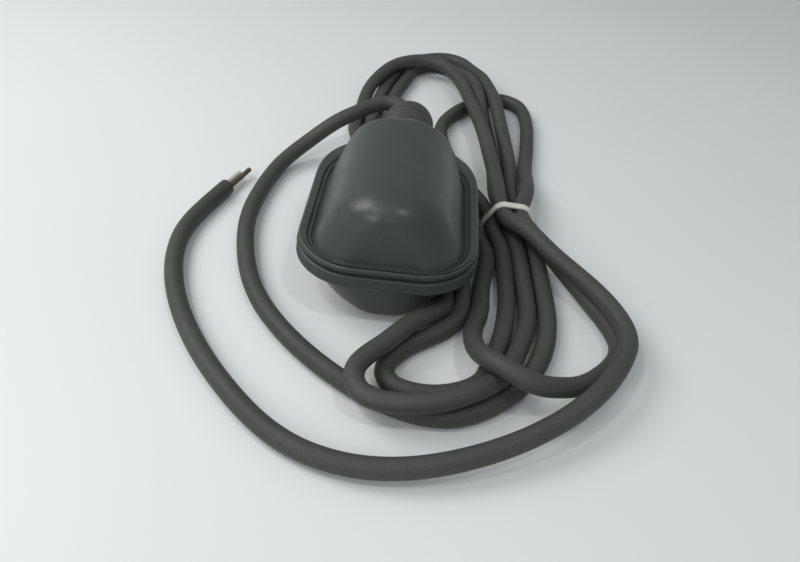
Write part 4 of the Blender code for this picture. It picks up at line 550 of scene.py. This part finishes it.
def cable_tie():
    """The flat band, drawn round the strands that its CAD solid holds."""
    route = smooth_curve(ROUTE, 10) * MM
    reach = CORD_DIAMETER / 2 + 0.1 * MM
    width = TIE_HIGH[1] - TIE_LOW[1]
    beside_float = FLANGE_HALF_WIDTH + CORD_DIAMETER / 2
    rim = []
    for start, end in zip(route, route[1:]):
        for y in (TIE_Y - width / 2, TIE_Y + width / 2):
            if (start[1] - y) * (end[1] - y) < 0:
                x, _, z = start + (end - start) * (y - start[1]) / (end[1] - start[1])
                if x > beside_float:
                    rim += [(x + reach * math.cos(a), z + reach * math.sin(a)) for a in np.arange(48) * math.pi / 24]
    loop = hull(rim)
    bm = bmesh.new()
    rings = []
    for k, point in enumerate(loop):
        along = np.subtract(loop[(k + 1) % len(loop)], loop[k - 1])
        out = np.array((along[1], -along[0])) / np.linalg.norm(along)
        ring = []
        for across, up in ((-0.5, 0), (-0.5, 0.75), (-0.42, 1), (0.42, 1), (0.5, 0.75), (0.5, 0)):
            p = np.array(point) + out * TIE_THICKNESS * up
            ring.append(Vector((p[0], TIE_Y + across * width, p[1])))
        rings.append(ring)
    loft(bm, rings, closed=True)
    obj = finish_mesh("tie_band", bm, [TIE], sharp_deg=40)
    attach(obj, "float_body")
    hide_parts("cable_tie")
    return obj


cord, tails, cord_length = cable()
tie = cable_tie()

# ---------------------------------------------------------------- carried-over pieces inside and at the seam
INNER = {
    "rim_seal": SEAL, "sheath_end": SHEATH, "capsule_seal": SEAL, "lead_grommet": GLAND,
    "cable_clamp": plain("clamp_plastic", (0.10, 0.10, 0.10), 0.5),
    "capsule_base": plain("capsule_plastic", (0.55, 0.55, 0.50), 0.5),
    "rocker": plain("rocker_plastic", (0.75, 0.74, 0.68), 0.5),
    "steel_ball": plain("ball_steel", (0.60, 0.60, 0.60), 0.15, 1.0),
    "microswitch_case": plain("switch_case_plastic", (0.02, 0.02, 0.02), 0.5),
    "microswitch_cover": plain("switch_cover_plastic", (0.40, 0.05, 0.03), 0.5),
    "plunger": plain("plunger_plastic", (0.55, 0.03, 0.02), 0.4),
    "snap_blade": plain("terminal_brass", (0.70, 0.52, 0.22), 0.3, 1.0),
    "crimp_sleeve": plain("sleeve_plastic", (0.60, 0.60, 0.58), 0.4),
    "screw": plain("screw_steel", (0.55, 0.54, 0.52), 0.35, 1.0),
    "lead_blue": plain("blue_core", (0.03, 0.10, 0.40), 0.45),
    "lead_brown": plain("brown_core", (0.20, 0.08, 0.03), 0.45),
    "lead_black": plain("black_core", (0.02, 0.02, 0.02), 0.45),
}
FAMILIES = (("screw", "screw"), ("rocker_pin", "screw"), ("capsule_lid", "capsule_base"),
            ("switch_terminal", "snap_blade"), ("crimp_sleeve", "crimp_sleeve"))
for node, obj in frame["nodes"].items():
    family = next((kind for part, kind in FAMILIES if part in node), node)
    if family in INNER:
        obj.data.materials.clear()
        obj.data.materials.append(INNER[family])


# ---------------------------------------------------------------- floor, light and camera
BACKGROUND = (0.95, 0.98, 1.0)
TABLE_HALF_SIZE = 6.0
FADE_START, FADE_END = 0.9, 1.6                  # distances from the float


def floor():
    """A pale table top that fades into the background far from the object."""
    bm = bmesh.new()
    size = TABLE_HALF_SIZE
    for x, y in ((-size, -size), (size, -size), (size, size), (-size, size)):
        bm.verts.new((x, y, 0))
    bm.faces.new(bm.verts)
    n = Nodes("table_top")
    n.link(n.ramp(n.noise(3.0, 2.0, 0.5), [(0.3, (0.80, 0.83, 0.83)), (0.7, (0.84, 0.86, 0.86))]),
           n.shader.inputs["Base Color"])
    n.shader.inputs["Roughness"].default_value = 0.5
    # only the camera and reflections see the fade, so it adds no light
    away = n.add("ShaderNodeVectorMath", operation="LENGTH")
    n.link(n.coordinates(), away.inputs[0])
    path = n.add("ShaderNodeLightPath")
    seen = n.add("ShaderNodeMath", operation="MAXIMUM")
    n.link(path.outputs["Is Camera Ray"], seen.inputs[0])
    n.link(path.outputs["Is Glossy Ray"], seen.inputs[1])
    share = n.add("ShaderNodeMath", operation="MULTIPLY")
    n.link(n.span(away.outputs["Value"], FADE_START, FADE_END, 0.0, 1.0), share.inputs[0])
    n.link(seen.outputs[0], share.inputs[1])
    pale = n.add("ShaderNodeEmission")
    pale.inputs["Color"].default_value = (*BACKGROUND, 1)
    blend = n.add("ShaderNodeMixShader")
    n.link(share.outputs[0], blend.inputs[0])
    n.link(n.shader.outputs[0], blend.inputs[1])
    n.link(pale.outputs[0], blend.inputs[2])
    n.link(blend.outputs[0], n.tree.nodes["Material Output"].inputs["Surface"])
    obj = finish_mesh("table_top", bm, [n.mat])


def area_light(name, place, target, size, power, colour=(1, 1, 1)):
    """A round lamp that faces its target."""
    light = bpy.data.lights.new(name, "AREA")
    light.shape = "DISK"
    light.size, light.energy, light.color = size, power, colour
    obj = bpy.data.objects.new(name, light)
    bpy.context.scene.collection.objects.link(obj)
    obj.location = place
    obj.rotation_euler = (Vector(target) - Vector(place)).to_track_quat("-Z", "Y").to_euler()


def world(strength, colour, seen):
    """Light from the surroundings, and a pale background for the camera."""
    scene_world = bpy.data.worlds.new("studio")
    bpy.context.scene.world = scene_world
    scene_world.use_nodes = True
    tree = scene_world.node_tree
    tree.nodes.clear()
    out = tree.nodes.new("ShaderNodeOutputWorld")
    pick = tree.nodes.new("ShaderNodeMixShader")
    path = tree.nodes.new("ShaderNodeLightPath")
    for index, (rgb, power) in enumerate(((colour, strength), (seen, 1.0))):
        shade = tree.nodes.new("ShaderNodeBackground")
        shade.inputs["Color"].default_value = (*rgb, 1)
        shade.inputs["Strength"].default_value = power
        tree.links.new(shade.outputs[0], pick.inputs[index + 1])
    tree.links.new(path.outputs["Is Camera Ray"], pick.inputs[0])
    tree.links.new(pick.outputs[0], out.inputs[0])


def camera():
    """Looks down at the float from in front, turned a little about its own axis."""
    pitch, yaw, roll = math.radians(40.59), math.radians(-0.16), math.radians(6.43)
    ahead = Vector((math.sin(yaw) * math.cos(pitch), math.cos(yaw) * math.cos(pitch), -math.sin(pitch)))
    right = Vector((math.cos(yaw), -math.sin(yaw), 0))
    up = right.cross(ahead)
    turned_right = math.cos(roll) * right + math.sin(roll) * up
    turned_up = -math.sin(roll) * right + math.cos(roll) * up
    data = bpy.data.cameras.new("view")
    data.sensor_width, data.lens = 36.0, 31.48
    obj = bpy.data.objects.new("view", data)
    bpy.context.scene.collection.objects.link(obj)
    matrix = Matrix((turned_right, turned_up, -ahead)).transposed().to_4x4()
    matrix.translation = Vector((8.75, -311.44, 245.86)) * MM
    obj.matrix_world = matrix
    bpy.context.scene.camera = obj


floor()
world(0.36, (0.94, 0.98, 1.0), BACKGROUND)
area_light("key", (-0.60, 0.10, 0.65), (0, 0, 0), 0.50, 3.0, (1.0, 0.99, 0.97))
area_light("front", (-0.45, -0.75, 0.60), (0, 0, 0), 0.50, 2.0)
# two small lamps overhead, whose reflections sit side by side where the crest rounds over
area_light("lamp_left", (-0.43, -0.31, 1.05), (0, 0, 0.06), 0.10, 1.2)
area_light("lamp_right", (0.30, -0.32, 1.05), (0, 0, 0.06), 0.10, 1.2)
camera()

bpy.context.scene.view_settings.view_transform = "Standard"
